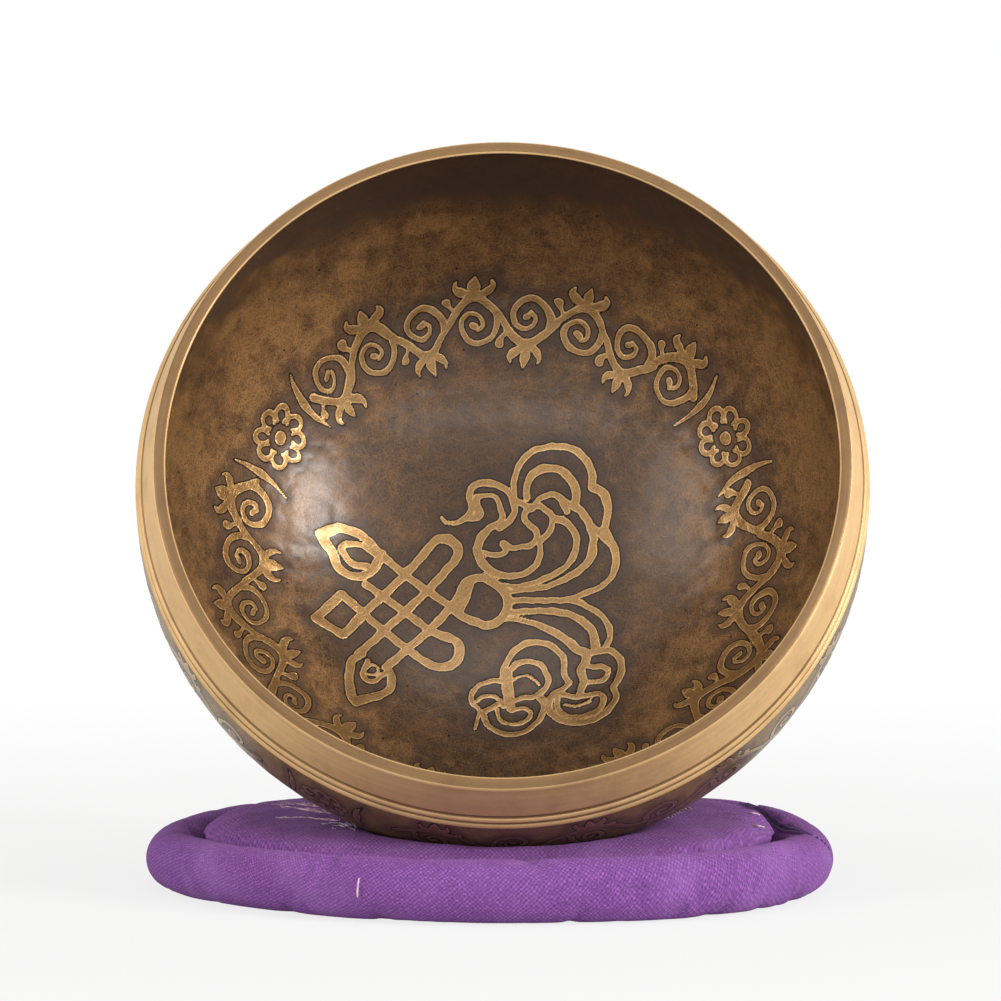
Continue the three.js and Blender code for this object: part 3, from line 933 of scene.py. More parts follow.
def ornament(radius, angle, depth, inside):
    """Distance from each vertex to the nearest stroke's edge, below 0 inside a stroke."""
    field = np.full(len(radius), FAR)
    floor = np.nonzero(inside & (depth > BELLY_DEPTH) & (radius < 40))[0]
    plan = np.stack([radius[floor] * np.cos(angle[floor]), radius[floor] * np.sin(angle[floor])], axis=1)
    plan += 0.12 * np.stack([wobble(plan, 3.5, 3), wobble(plan, 3.5, 4)], axis=1)
    part = field[floor]
    for widths, points in KNOT + UPPER_CLOUD + LOWER_CLOUD:
        brush(part, plan, widths, points)
    field[floor] = part

    wall = np.nonzero(inside & (depth > BELLY_DEPTH + 1) & (radius > 38))[0]
    height = floor_to_height(radius[wall]) - floor_to_height(INNER_RING_RADIUS)
    part = field[wall]
    ring_of_vine(part, angle[wall], height, INNER_RING_RADIUS, 1.0, 21)
    field[wall] = part

    skirt = np.nonzero(~inside & (depth > BEADS_END_DEPTH) & (depth < OUTER_CAP_DEPTH))[0]
    part = field[skirt]
    ring_of_vine(part, angle[skirt] + 0.5, OUTER_RING_DEPTH - depth[skirt], BELLY_RADIUS, 0.8, 22)
    field[skirt] = part
    places = np.stack([radius * np.cos(angle), radius * np.sin(angle), depth], axis=1)
    return field + STROKE_TRIM + 0.04 * wobble(places, 1.6, 5)


def flattened(radius, angle, depth, inside):
    """Each vertex's place on the wall rolled out flat, in millimetres, for patterns that follow the wall."""
    share = np.where(inside, 1.0, INNER_BELLY_RADIUS / BELLY_RADIUS)
    lower = floor_to_height(np.minimum(radius * share, INNER_BELLY_RADIUS))
    upper = floor_to_height(INNER_BELLY_RADIUS) + BELLY_DEPTH - depth
    along = np.where(depth < BELLY_DEPTH, upper, lower)
    out = np.stack([along * np.cos(angle), along * np.sin(angle), np.where(inside, 0.0, 40.0)], axis=1)
    return out.astype(np.float32)


def make_bowl(materials):
    radius, angle, depth, inside, faces, finish = bowl_surface()
    points = np.stack([radius * np.cos(angle), radius * np.sin(angle), -depth], axis=1)
    place = Matrix.Translation(Vector(BELLY_CENTRE * MM)) @ Matrix.Rotation(BOWL_TILT, 4, "X")
    place = place @ Matrix.Translation((0, 0, BELLY_DEPTH * MM))
    bowl = make_object("singing_bowl_bronze", points, faces, materials, matrix=place)
    bowl.data.polygons.foreach_set("material_index", finish.astype(np.int32))

    sweep = np.linspace(0.02, math.pi / 2, 60)
    upper = np.linspace(BELLY_DEPTH, 1.0, 20)[1:]
    reach = np.concatenate([INNER_BELLY_RADIUS * np.sin(sweep), inner_radius(upper)])
    drop = np.concatenate([BELLY_DEPTH + INNER_LOWER_AXIS * np.cos(sweep), upper])
    rows = blow_rows((reach, drop), INSIDE_ROW_PITCH)
    # Each vertex is looked up a little to one side, so that the marks have ragged and not round edges
    ragged = 0.9 * np.stack([wobble(points, 3.0, 71), wobble(points, 3.0, 72)], axis=1)
    looked_up = (radius + ragged[:, 0], angle, depth + ragged[:, 1])
    blows = (INSIDE_BLOW_PITCH, INSIDE_BLOW_SIZE, INSIDE_BLOW_DEPTH)
    dent, rub = hammered(*looked_up, rows, *blows, 31)
    # The floor is smoother, and the marks and their rubbing fade out just under the lip
    strength = 0.4 + 0.6 * np.clip((floor_to_height(radius) - 30) / 14, 0, 1)
    strength = np.where(depth < BELLY_DEPTH, 1.0, strength) * np.clip(depth / 4, 0, 1)
    # Painted shade darkens the wall under the lip, reaching less far down at both sides than at top and
    # bottom
    sideways = np.abs(np.cos(angle))
    out_of_lip_shade = depth + 3 * wobble(points, 9, 73) - LIP_SHADE_DEPTH + 9 * sideways
    out_of_lip_shade = np.clip(out_of_lip_shade / 10, 0, 1)
    dent = dent * strength
    # Rubbing is made stronger at both sides and weaker at the bottom
    rub_by_side = 0.7 + 0.9 * sideways - 0.35 * np.clip(-np.sin(angle), 0, 1) ** 3
    rub = (0.25 + 0.75 * rub) * np.clip(strength * 1.4 - 0.5, 0.12, 1) * rub_by_side
    dent[~inside], out_of_lip_shade[~inside] = 0, 1

    upper = np.linspace(BELLY_DEPTH, BEADS_END_DEPTH + 2, 6)[1:]
    reach = np.concatenate([BELLY_RADIUS * np.sin(sweep), outer_radius(upper)])
    drop = np.concatenate([BELLY_DEPTH + OUTER_LOWER_AXIS * np.cos(sweep), upper])
    rows = blow_rows((reach, drop), OUTSIDE_ROW_PITCH)
    blows = (OUTSIDE_BLOW_PITCH, OUTSIDE_BLOW_SIZE, OUTSIDE_BLOW_DEPTH)
    outer_dent, outer_rub = hammered(*looked_up, rows, *blows, 32)
    below = ~inside & (depth > BEADS_END_DEPTH)
    fade = np.clip((depth - BEADS_END_DEPTH) / 3, 0, 1)
    dent[below] = (outer_dent * fade)[below]
    rub[below] = outer_rub[below] * 0.5

    field = ornament(radius, angle, depth, inside)
    raised = np.clip(0.5 - field / 0.5, 0, 1)
    raised = raised * raised * (3 - 2 * raised)
    normals = np.zeros(len(points) * 3, np.float32)
    bowl.data.vertex_normals.foreach_get("vector", normals)
    moved = points + normals.reshape(-1, 3) * (STROKE_HEIGHT * raised - dent)[:, None]
    bowl.data.vertices.foreach_set("co", (moved * MM).astype(np.float32).ravel())

    patches = np.clip(0.75 + 0.4 * wobble(points, 24, 8), 0, 1)
    set_attribute(bowl.data, "stroke", field)
    # The rubbed attribute is the rubbing times the painted shade under the lip
    set_attribute(bowl.data, "rubbed", out_of_lip_shade * (0.2 + 0.8 * np.clip(rub * patches, 0, 1)))
    flat = bowl.data.attributes.new("flat", "FLOAT_VECTOR", "POINT")
    flat.data.foreach_set("vector", flattened(radius, angle, depth, inside).ravel())
    bowl.data.update()
    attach(bowl, "bowl")
    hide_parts("singing_bowl")


# Cushion
def bowl_underside(x, y):
    """Height of the tipped bowl's underside over a place on the cushion."""
    across, back = x - BELLY_CENTRE[0], y - BELLY_CENTRE[1]
    wide = 1 / BELLY_RADIUS**2
    flatter = 1 / OUTER_LOWER_AXIS**2 - wide
    a = wide + flatter * TILT_COSINE**2
    b = -2 * flatter * back * TILT_SINE * TILT_COSINE
    c = (across**2 + back**2) * wide + flatter * (back * TILT_SINE) ** 2 - 1
    root = b**2 - 4 * a * c
    reached = BELLY_CENTRE[2] - (b + np.sqrt(np.maximum(root, 0))) / (2 * a)
    return np.where(root < 0, 1e6, reached)


def pressed_down(points, gap):
    """Lowers what the bowl would press, rounded where the dent begins."""
    free = points[:, 2]
    pressed = bowl_underside(points[:, 0], points[:, 1]) - gap
    share = np.clip(0.5 + (pressed - free) / (2 * DENT_BLEND), 0, 1)
    lowered = pressed + (free - pressed) * share - DENT_BLEND * share * (1 - share)
    points[:, 2] = np.where(share >= 1, free, lowered)
    return points


def turned_faces(rows, sides, first=0, closed=False):
    """Quads over a turned grid of rows by sides; with closed, the last row joins the first."""
    faces = []
    for row in range(rows if closed else rows - 1):
        low = first + row * sides
        high = first + (row + 1) % rows * sides
        for side in range(sides):
            after = (side + 1) % sides
            faces.append([low + side, low + after, high + after, high + side])
    return faces


# Cloth that rests on the floor is rounded where it meets it, and stays clear of it by a hair
REST_ROUNDING = 0.8
REST_CLEARANCE = 0.02
# The cloth simulation works at ten times the real size
SIMULATION_SCALE = 10
SIMULATION_FRAMES = 20


def swollen(points, faces, voxel, held, cap, pressure=4.0):
    """Swells a closed cloth shell under inner pressure. Points are in millimetres, held says which
    of the remeshed points are sewn down, and no point moves further than the cap."""
    scale = MM * SIMULATION_SCALE
    blank = make_object("cloth_blank", points, faces, [], scale)
    remesh = blank.modifiers.new("remesh", "REMESH")
    remesh.mode = "VOXEL"
    remesh.voxel_size = voxel * scale
    view = bpy.context.evaluated_depsgraph_get()
    mesh = bpy.data.meshes.new_from_object(blank.evaluated_get(view))
    bpy.data.objects.remove(blank)
    cloth = bpy.data.objects.new("cloth_swelling", mesh)
    bpy.context.collection.objects.link(cloth)
    start = np.zeros(len(mesh.vertices) * 3)
    mesh.vertices.foreach_get("co", start)
    start = start.reshape(-1, 3) / scale
    end = start.copy()
    group = cloth.vertex_groups.new(name="sewn")
    for index, share in enumerate(held(start)):
        if share > 0:
            group.add([index], float(share), "REPLACE")
    modifier = cloth.modifiers.new("cloth", "CLOTH")
    modifier.settings.quality = 6
    modifier.settings.mass = 0.25
    modifier.settings.tension_stiffness = 18
    modifier.settings.compression_stiffness = 18
    modifier.settings.bending_stiffness = 0.4
    modifier.settings.use_pressure = True
    modifier.settings.uniform_pressure_force = pressure
    modifier.settings.shrink_min = -0.04
    modifier.settings.vertex_group_mass = "sewn"
    modifier.settings.effector_weights.gravity = 0
    for frame_number in range(1, SIMULATION_FRAMES + 1):
        bpy.context.scene.frame_set(frame_number)
    view = bpy.context.evaluated_depsgraph_get()
    moved = cloth.evaluated_get(view).to_mesh()
    end = np.zeros(len(moved.vertices) * 3)
    moved.vertices.foreach_get("co", end)
    end = end.reshape(-1, 3) / scale
    bpy.context.scene.frame_set(1)
    step = end - start
    length = np.linalg.norm(step, axis=1)
    step *= np.minimum(1, cap / np.maximum(length, 1e-9))[:, None]
    polygons = [list(p.vertices) for p in mesh.polygons]
    bpy.data.objects.remove(cloth)
    return start + step, polygons


def weave_attribute(mesh, along, around, period, lean=None):
    """Threads' coordinates in millimetres for each face corner, so that they close round a ring."""
    corners = np.zeros(len(mesh.loops), np.int32)
    mesh.loops.foreach_get("vertex_index", corners)
    first = np.zeros(len(mesh.polygons), np.int32)
    total = np.zeros(len(mesh.polygons), np.int32)
    mesh.polygons.foreach_get("loop_start", first)
    mesh.polygons.foreach_get("loop_total", total)
    lead = np.repeat(first, total)
    values = []
    for line, length in ((along, period[0]), (around, period[1])):
        line = line[corners]
        if length:
            line = line - np.round((line - line[lead]) / length) * length
        values.append(line)
    if lean:
        values[1] = values[1] + lean(values[0])
    data = np.stack([*values, np.zeros(len(corners))], axis=1).astype(np.float32)
    made = mesh.attributes.new("weave", "FLOAT_VECTOR", "CORNER")
    made.data.foreach_set("vector", data.ravel())


def subdivided(name, points, faces, materials, levels=1):
    """An object smoothed by one subdivision, with the modifier applied."""
    made = make_object(name, points, faces, materials)
    smooth = made.modifiers.new("smooth", "SUBSURF")
    smooth.levels = levels
    smooth.render_levels = levels
    view = bpy.context.evaluated_depsgraph_get()
    mesh = bpy.data.meshes.new_from_object(made.evaluated_get(view))
    made.modifiers.clear()
    old = made.data
    made.data = mesh
    bpy.data.meshes.remove(old)
    made.data.name = name
    return made


def mesh_points(mesh):
    found = np.zeros(len(mesh.vertices) * 3)
    mesh.vertices.foreach_get("co", found)
    return found.reshape(-1, 3) / MM


def set_points(mesh, points):
    mesh.vertices.foreach_set("co", (points * MM).astype(np.float32).ravel())
    mesh.update()


# The padded centre bulges over its seam, more at the sides where the bowl squeezes the filling out
PAD_TOP_RADIUS = 43.3
PAD_OVERHANG = 2.3
PAD_WIDEST_HEIGHT = 9.0
PAD_TUCK = 3.2
PAD_START = 0.45
PAD_VOXEL = 1.2
PAD_CAP = 0.8
ROLL_VOXEL = 1.3
ROLL_START = 0.94
ROLL_CAP = 0.9
PUCKER = 0.3
CLEARANCE = 0.1


def hill(x, y, centre, size):
    return np.exp(-(((x - centre[0]) / size[0]) ** 2) - ((y - centre[1]) / size[1]) ** 2)


def squeezed(x, y):
    """How far the filling stands above or below its usual height."""
    left = 1.3 * hill(x, y, (-40, 12), (20, 24))
    right = 1.3 * hill(x, y, (44, 14), (20, 26))
    front = -3.7 * hill(x, y, (4, -45), (36, 12))
    return left + right + front


def pad_section(shrink):
    """Half section of the padded centre, from the crown out, over its side and down to the seam."""
    side = CENTRE_RADIUS + PAD_OVERHANG - PAD_TOP_RADIUS - shrink
    rise = CROWN_HEIGHT - shrink - PAD_WIDEST_HEIGHT
    rows = [(PAD_TOP_RADIUS * s, CROWN_HEIGHT - shrink) for s in np.linspace(0, 1, 30)[1:]]
    for turn in np.radians(np.linspace(0, 128, 22))[1:]:
        height = (rise if turn < math.pi / 2 else PAD_TUCK) * math.cos(turn)
        rows.append((PAD_TOP_RADIUS + side * math.sin(turn), PAD_WIDEST_HEIGHT + height))
    return rows


def off_roll(points):
    """Pushes points out of the roll's cloth."""
    radius = np.hypot(points[:, 0], points[:, 1])
    out, up = radius - ROLL_CENTRE_RADIUS, points[:, 2] - SEAM_HEIGHT
    gap = np.hypot(out, up)
    share = np.maximum(1, (ROLL_RADIUS + CLEARANCE) / np.maximum(gap, 1e-9))
    moved = points.copy()
    moved[:, :2] *= ((ROLL_CENTRE_RADIUS + out * share) / np.maximum(radius, 1e-9))[:, None]
    moved[:, 2] = SEAM_HEIGHT + up * share
    return np.where((points[:, 2] > SEAM_HEIGHT)[:, None], moved, points)


def disc_shell(rows, sides, crown, foot):
    """A closed turned shell from rows of (radius, height), with a point at the top and one at the foot."""
    turn = np.arange(sides) * 2 * math.pi / sides
    points = [[0, 0, crown]]
    for radius, height in rows:
        ring = [radius * np.cos(turn), radius * np.sin(turn), np.full(sides, height)]
        points += np.stack(ring, axis=1).tolist()
    points.append([0, 0, foot])
    last = 1 + (len(rows) - 1) * sides
    faces = [[0, 1 + s, 1 + (s + 1) % sides] for s in range(sides)]
    faces += [f[::-1] for f in turned_faces(len(rows), sides, 1)]
    faces += [[last + s, len(points) - 1, last + (s + 1) % sides] for s in range(sides)]
    return np.array(points), faces


def dress(cloth, node):
    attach(cloth, "cushion")
    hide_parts(node)


FILLING_DEPTH = 0.6
SEAM_TAB = 0.5


def fill(cloth, name, node, material):
    """Cotton filling that follows its cloth from just inside."""
    mesh = cloth.data.copy()
    mesh.name = name
    mesh.materials.clear()
    mesh.materials.append(material)
    mesh.attributes.remove(mesh.attributes["weave"])
    normals = np.zeros(len(mesh.vertices) * 3, np.float32)
    mesh.vertex_normals.foreach_get("vector", normals)
    set_points(mesh, mesh_points(mesh) - FILLING_DEPTH * normals.reshape(-1, 3))
    made = bpy.data.objects.new(name, mesh)
    bpy.context.collection.objects.link(made)
    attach(made, "cushion")
    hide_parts(node)


def make_centre(material, filling):
    """Cloth disc stuffed with wadding, pressed in by the bowl and drawn down into the ring seam."""
    foot = SEAM_HEIGHT + 0.35
    rows = pad_section(PAD_START)
    seam_radius = rows[-1][0]
    rows += [(seam_radius * s, foot) for s in np.linspace(1, 0, 14)[:-1]]
    points, faces = disc_shell(rows, 220, CROWN_HEIGHT - PAD_START, foot)
    plan = points[:, :2]
    rim = np.clip(np.hypot(plan[:, 0], plan[:, 1]) / CENTRE_RADIUS, 0, 1) ** 10
    above = points[:, 2] > foot + 0.5
    points[:, 2] += above * (squeezed(points[:, 0], points[:, 1]) + PUCKER * rim * wobble(plan, 5.5, 51))

    def sewn(place):
        return (place[:, 2] < foot + 0.9).astype(float)

    points, faces = swollen(points, faces, PAD_VOXEL, sewn, PAD_CAP)
    centre = subdivided("centre_panel_cloth", points, faces, [material])
    points = mesh_points(centre.data)
    above = np.clip((points[:, 2] - foot - 0.6) / 2, 0, 1)
    points[:, 2] += above * (0.16 * wobble(points[:, :2], 13, 52) + 0.07 * wobble(points[:, :2], 4.5, 53))
    points = off_roll(pressed_down(points, SEAT_GAP * 0.6))
    set_points(centre.data, points)
    # From the front this cloth is seen nearly edge on, so its rows are drawn long from front to back
    weave_attribute(centre.data, points[:, 0], points[:, 1] * 0.35, (0, 0))
    dress(centre, "centre_panel")
    fill(centre, "centre_wadding_cotton", "centre_wadding", filling)


def make_base(material):
    """Cloth disc below, flat where the cushion lies on it and drawn up into the ring seam."""
    edge_height = SEAM_HEIGHT - 0.3
    reach = CENTRE_RADIUS - BASE_FLAT_RADIUS
    rows = [(CENTRE_RADIUS * s, edge_height + 0.1) for s in np.linspace(0.05, 0.98, 12)]
    for turn in np.linspace(math.pi / 2, 0, 14):
        rows.append((BASE_FLAT_RADIUS + reach * math.sin(turn), edge_height * (1 - math.cos(turn))))
    rows += [(BASE_FLAT_RADIUS * s, 0.0) for s in np.linspace(1, 0, 24)[1:-1]]
    points, faces = disc_shell(rows, 220, edge_height + 0.1, 0.0)
    plan = points[:, :2]
    rim = np.clip(np.hypot(plan[:, 0], plan[:, 1]) / CENTRE_RADIUS, 0, 1) ** 6
    low = points[:, 2] < edge_height - 0.5
    points[:, 2] += low * 0.35 * rim * np.abs(wobble(plan, 6, 61))
    # Its edge is drawn out into the roll's seam, so that no gap shows between pad and roll
    turn, radius = np.arctan2(plan[:, 1], plan[:, 0]), np.hypot(plan[:, 0], plan[:, 1])
    seam = uneven(turn, np.full(len(turn), -ROLL_RADIUS), np.zeros(len(turn)))[0]
    drawn = np.clip((radius - BASE_FLAT_RADIUS) / reach, 0, 1) ** 3 * (seam + SEAM_TAB - CENTRE_RADIUS)
    points[:, :2] *= (1 + drawn / np.maximum(radius, 1))[:, None]
    base = subdivided("base_panel_cloth", points, faces, [material])
    points = mesh_points(base.data)
    points[:, 2] = np.maximum(points[:, 2], REST_CLEARANCE)
    set_points(base.data, points)
    weave_attribute(base.data, points[:, 0], points[:, 1], (0, 0))
    dress(base, "base_panel")


def roll_place(azimuth, section, lift=0.0):
    """A place on the roll, by its angle round the cushion and round the roll, in degrees."""
    a, s = math.radians(azimuth), math.radians(section)
    reach = ROLL_CENTRE_RADIUS + (ROLL_RADIUS + lift) * math.cos(s)
    return (reach * math.cos(a), reach * math.sin(a), SEAM_HEIGHT + (ROLL_RADIUS + lift) * math.sin(s))


# The slit where the roll was turned and stuffed runs over its top at the right, sewn shut by hand.
# Each place is given by its angle round the cushion and round the roll, in degrees
CLOSING_SEAM = [
    (33, 92), (26, 108), (20, 118), (11, 126), (2, 122),
    (-6, 104), (-11, 76), (-10, 50), (-8, 22), (-7, -10),
]
SEAM_REACH = 1.5
SEAM_SINK = 0.75


def uneven(turn, out, up):
    """Where cloth at an offset from the roll's centre circle really lies, as (radius, height): the roll
    is stuffed by hand, thinner at the left, and fuller at the right front and along its closing seam."""
    ring = np.stack([np.cos(turn), np.sin(turn)], axis=1) * ROLL_CENTRE_RADIUS
    left = hill(ring[:, 0], ring[:, 1], (-42, -40), (28, 28))
    right = hill(ring[:, 0], ring[:, 1], (38, -43), (26, 24))
    closed = hill(ring[:, 0], ring[:, 1], (50, 28), (22, 22))
    full = ROLL_RADIUS * (1 + 0.01 * wobble(ring, 26, 43)) + 0.3 * right + 0.3 * closed - 0.4 * left
    share = 0.3 + 0.7 * np.minimum(full / np.maximum(np.hypot(out, up), 1e-9), 1.08)
    top = np.clip(up * share / ROLL_RADIUS, 0, 1)
    crest = np.where(np.sin(turn) > 0, 0.95, -0.5) * np.sin(turn) + 0.6 * closed
    height = SEAM_HEIGHT + up * share + crest * top + 0.35 * left
    return ROLL_CENTRE_RADIUS + out * share - 0.8 * left + 3.2 * right, height


def closing_line(lift=0.0):
    """The closing seam's line over the roll, lifted off the cloth."""
    azimuth, section = np.radians(np.array(CLOSING_SEAM)).T
    radius, height = uneven(azimuth, ROLL_RADIUS * np.cos(section), ROLL_RADIUS * np.sin(section))
    radius, height = radius + lift * np.cos(section), height + lift * np.sin(section)
    return smooth_line(np.stack([radius * np.cos(azimuth), radius * np.sin(azimuth), height], axis=1))


def distance_to_line(points, line):
    """Distance from each point to a polyline, and how far along it the nearest place lies."""
    best = np.full(len(points), 1e9)
    where = np.zeros(len(points))
    run = 0.0
    for start, end in zip(line, line[1:]):
        step = end - start
        length = np.linalg.norm(step)
        share = np.clip((points - start) @ step / length**2, 0, 1)
        gap = np.linalg.norm(points - start - share[:, None] * step, axis=1)
        nearer = gap < best
        best[nearer] = gap[nearer]
        where[nearer] = run + share[nearer] * length
        run += length
    return best, where


def fitted_roll(points):
    """Draws the swollen roll to its real section, uneven as a hand-stuffed one is, seamed and flat below."""
    turn = np.arctan2(points[:, 1], points[:, 0])
    out, up = np.hypot(points[:, 0], points[:, 1]) - ROLL_CENTRE_RADIUS, points[:, 2] - SEAM_HEIGHT
    radius, height = uneven(turn, out, up)
    moved = np.stack([radius * np.cos(turn), radius * np.sin(turn), height], axis=1)

    near = np.nonzero((points[:, 0] > 35) & (np.abs(points[:, 1]) < 45))[0]
    gap, along = distance_to_line(moved[near], closing_line())
    pull = np.clip(1 - (gap / SEAM_REACH) ** 2, 0, 1) ** 2 * SEAM_SINK
    pull += 0.14 * np.clip(1 - gap / 3.2, 0, 1) * np.sin(2 * math.pi * along / 1.7)
    heart = np.stack([np.cos(turn), np.sin(turn), np.zeros(len(turn))], axis=1) * ROLL_CENTRE_RADIUS
    heart[:, 2] = SEAM_HEIGHT
    inward = heart[near] - moved[near]
    moved[near] += inward / np.linalg.norm(inward, axis=1)[:, None] * pull[:, None]
    low = np.clip(REST_ROUNDING - moved[:, 2], 0, None)
    eased = REST_ROUNDING - low + low**2 / (4 * REST_ROUNDING)
    moved[:, 2] = np.where(low > 0, eased, moved[:, 2])
    moved[:, 2] = np.maximum(moved[:, 2], REST_CLEARANCE)
    return moved


def bias_lean(along):
    """The cloth was cut straight and bent into a ring, so its rows lie flatter at the left and stand
    steeper at the right."""
    return -0.6 * ROLL_CENTRE_RADIUS * np.sin(along / ROLL_CENTRE_RADIUS)


def make_roll(material, filling):
    """Cloth tube round the edge, stuffed and sewn shut along its inner side."""
    sides, steps = 260, 28
    turn = np.arange(sides) * 2 * math.pi / sides
    plan = np.stack([np.cos(turn), np.sin(turn)], axis=1) * ROLL_CENTRE_RADIUS
    puckers = PUCKER * wobble(plan, 5.5, 41)
    points = []
    for section in np.arange(steps) * 2 * math.pi / steps:
        inner = max(0.0, -math.cos(section)) ** 3
        size = ROLL_RADIUS * ROLL_START * (1 + 0.015 * wobble(plan, 45, 42))
        reach = ROLL_CENTRE_RADIUS + size * math.cos(section) - puckers * inner
        height = SEAM_HEIGHT + size * math.sin(section) + puckers * inner * 0.6
        points.append(np.stack([reach * np.cos(turn), reach * np.sin(turn), height], axis=1))
    faces = turned_faces(steps, sides, closed=True)

    def sewn(place):
        inner_side = ROLL_CENTRE_RADIUS - ROLL_RADIUS * ROLL_START * 0.93
        return (np.hypot(place[:, 0], place[:, 1]) < inner_side).astype(float)

    points, faces = swollen(np.concatenate(points), faces, ROLL_VOXEL, sewn, ROLL_CAP)
    roll = subdivided("roll_cover_cloth", points, faces, [material])
    points = fitted_roll(mesh_points(roll.data))
    set_points(roll.data, points)
    along = np.arctan2(points[:, 1], points[:, 0]) * ROLL_CENTRE_RADIUS
    out = np.hypot(points[:, 0], points[:, 1]) - ROLL_CENTRE_RADIUS
    around = np.arctan2(points[:, 2] - SEAM_HEIGHT, out) * ROLL_RADIUS
    full_turn = (2 * math.pi * ROLL_CENTRE_RADIUS, 2 * math.pi * ROLL_RADIUS)
    weave_attribute(roll.data, along, around, full_turn, bias_lean)
    dress(roll, "roll_cover")
    fill(roll, "roll_stuffing_cotton", "roll_stuffing", filling)


# Sewing thread
THREAD_SIDES = 6


def tube(line, radius, first):
    """Points and faces of a closed tube along a line, numbered from a first index."""
    line = np.asarray(line, float)
    ahead = np.gradient(line, axis=0)
    ahead /= np.linalg.norm(ahead, axis=1)[:, None]
    side = np.cross(ahead, (0.31, 0.22, 0.92))
    side /= np.linalg.norm(side, axis=1)[:, None]
    top = np.cross(side, ahead)
    count = len(line)
    ends = np.full(count, radius)
    ends[[0, -1]] = radius * 0.4
    points = []
    for i in range(THREAD_SIDES):
        turn = 2 * math.pi * i / THREAD_SIDES
        points.append(line + ends[:, None] * (side * math.cos(turn) + top * math.sin(turn)))
    points = np.stack(points, axis=1).reshape(-1, 3)
    faces = turned_faces(count, THREAD_SIDES, first)
    faces.append([first + i for i in range(THREAD_SIDES)][::-1])
    faces.append([first + (count - 1) * THREAD_SIDES + i for i in range(THREAD_SIDES)])
    return points, faces


def make_thread(name, lines, radius, material, plies=1):
    """One mesh of thread along several lines, of one strand or of plies twisted round each other."""
    points, faces, count = [], [], 0
    for line in lines:
        line = np.asarray(line, float)
        run = np.concatenate([[0], np.cumsum(np.linalg.norm(np.diff(line, axis=0), axis=1))])
        for ply in range(plies):
            path = line
            if plies > 1:
                ahead = np.gradient(line, axis=0)
                ahead /= np.linalg.norm(ahead, axis=1)[:, None]
                side = np.cross(ahead, (0, 0, 1))
                side /= np.linalg.norm(side, axis=1)[:, None]
                top = np.cross(side, ahead)
                turn = (2 * math.pi * (run / (9 * radius) + ply / plies))[:, None]
                path = line + radius * 0.9 * (side * np.cos(turn) + top * np.sin(turn))
            more, more_faces = tube(path, radius, count)
            points.append(more)
            faces += more_faces
            count += len(more)
    made = make_object(name, np.concatenate(points), faces, [material])
    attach(made, "cushion")


def pad_height(x, y):
    """Height of the padded centre's cloth, where the bowl doesn't press it."""
    radius = math.hypot(x, y)
    top = CROWN_HEIGHT + float(squeezed(np.array(x), np.array(y)))
    side = CENTRE_RADIUS + PAD_OVERHANG - PAD_TOP_RADIUS
    fall = max(0.0, 1 - (max(0.0, radius - PAD_TOP_RADIUS) / side) ** 2)
    return PAD_WIDEST_HEIGHT + (top - PAD_WIDEST_HEIGHT) * math.sqrt(fall)


def on_pad(places, lift, waver=0.0, seed=0):
    """A smooth line over the padded centre through plan places, wavering as a loose end does."""
    line = smooth_line([(x, y, 0.0) for x, y in places], 0.12)
    line[:, 0] += waver * wobble(line[:, :2], 2.2, seed)
    line[:, 1] += 2 * waver * wobble(line[:, :2], 2.6, seed + 1)
    line[:, 2] = [pad_height(x, y) for x, y in line[:, :2]]
    line = pressed_down(line, SEAT_GAP * 0.6)
    line[:, 2] += lift + waver * np.abs(wobble(line[:, :2], 1.9, seed + 2))
    return line


LADDER_STITCHES = 72
# One stitch over the ring seam, as radius, height and slip along the seam
LADDER_STITCH = ((50.9, 6.3, 0.0), (51.4, 6.9, 0.1), (52.0, 7.1, 0.25), (52.4, 6.9, 0.35))
CLOSING_PITCH = 1.15


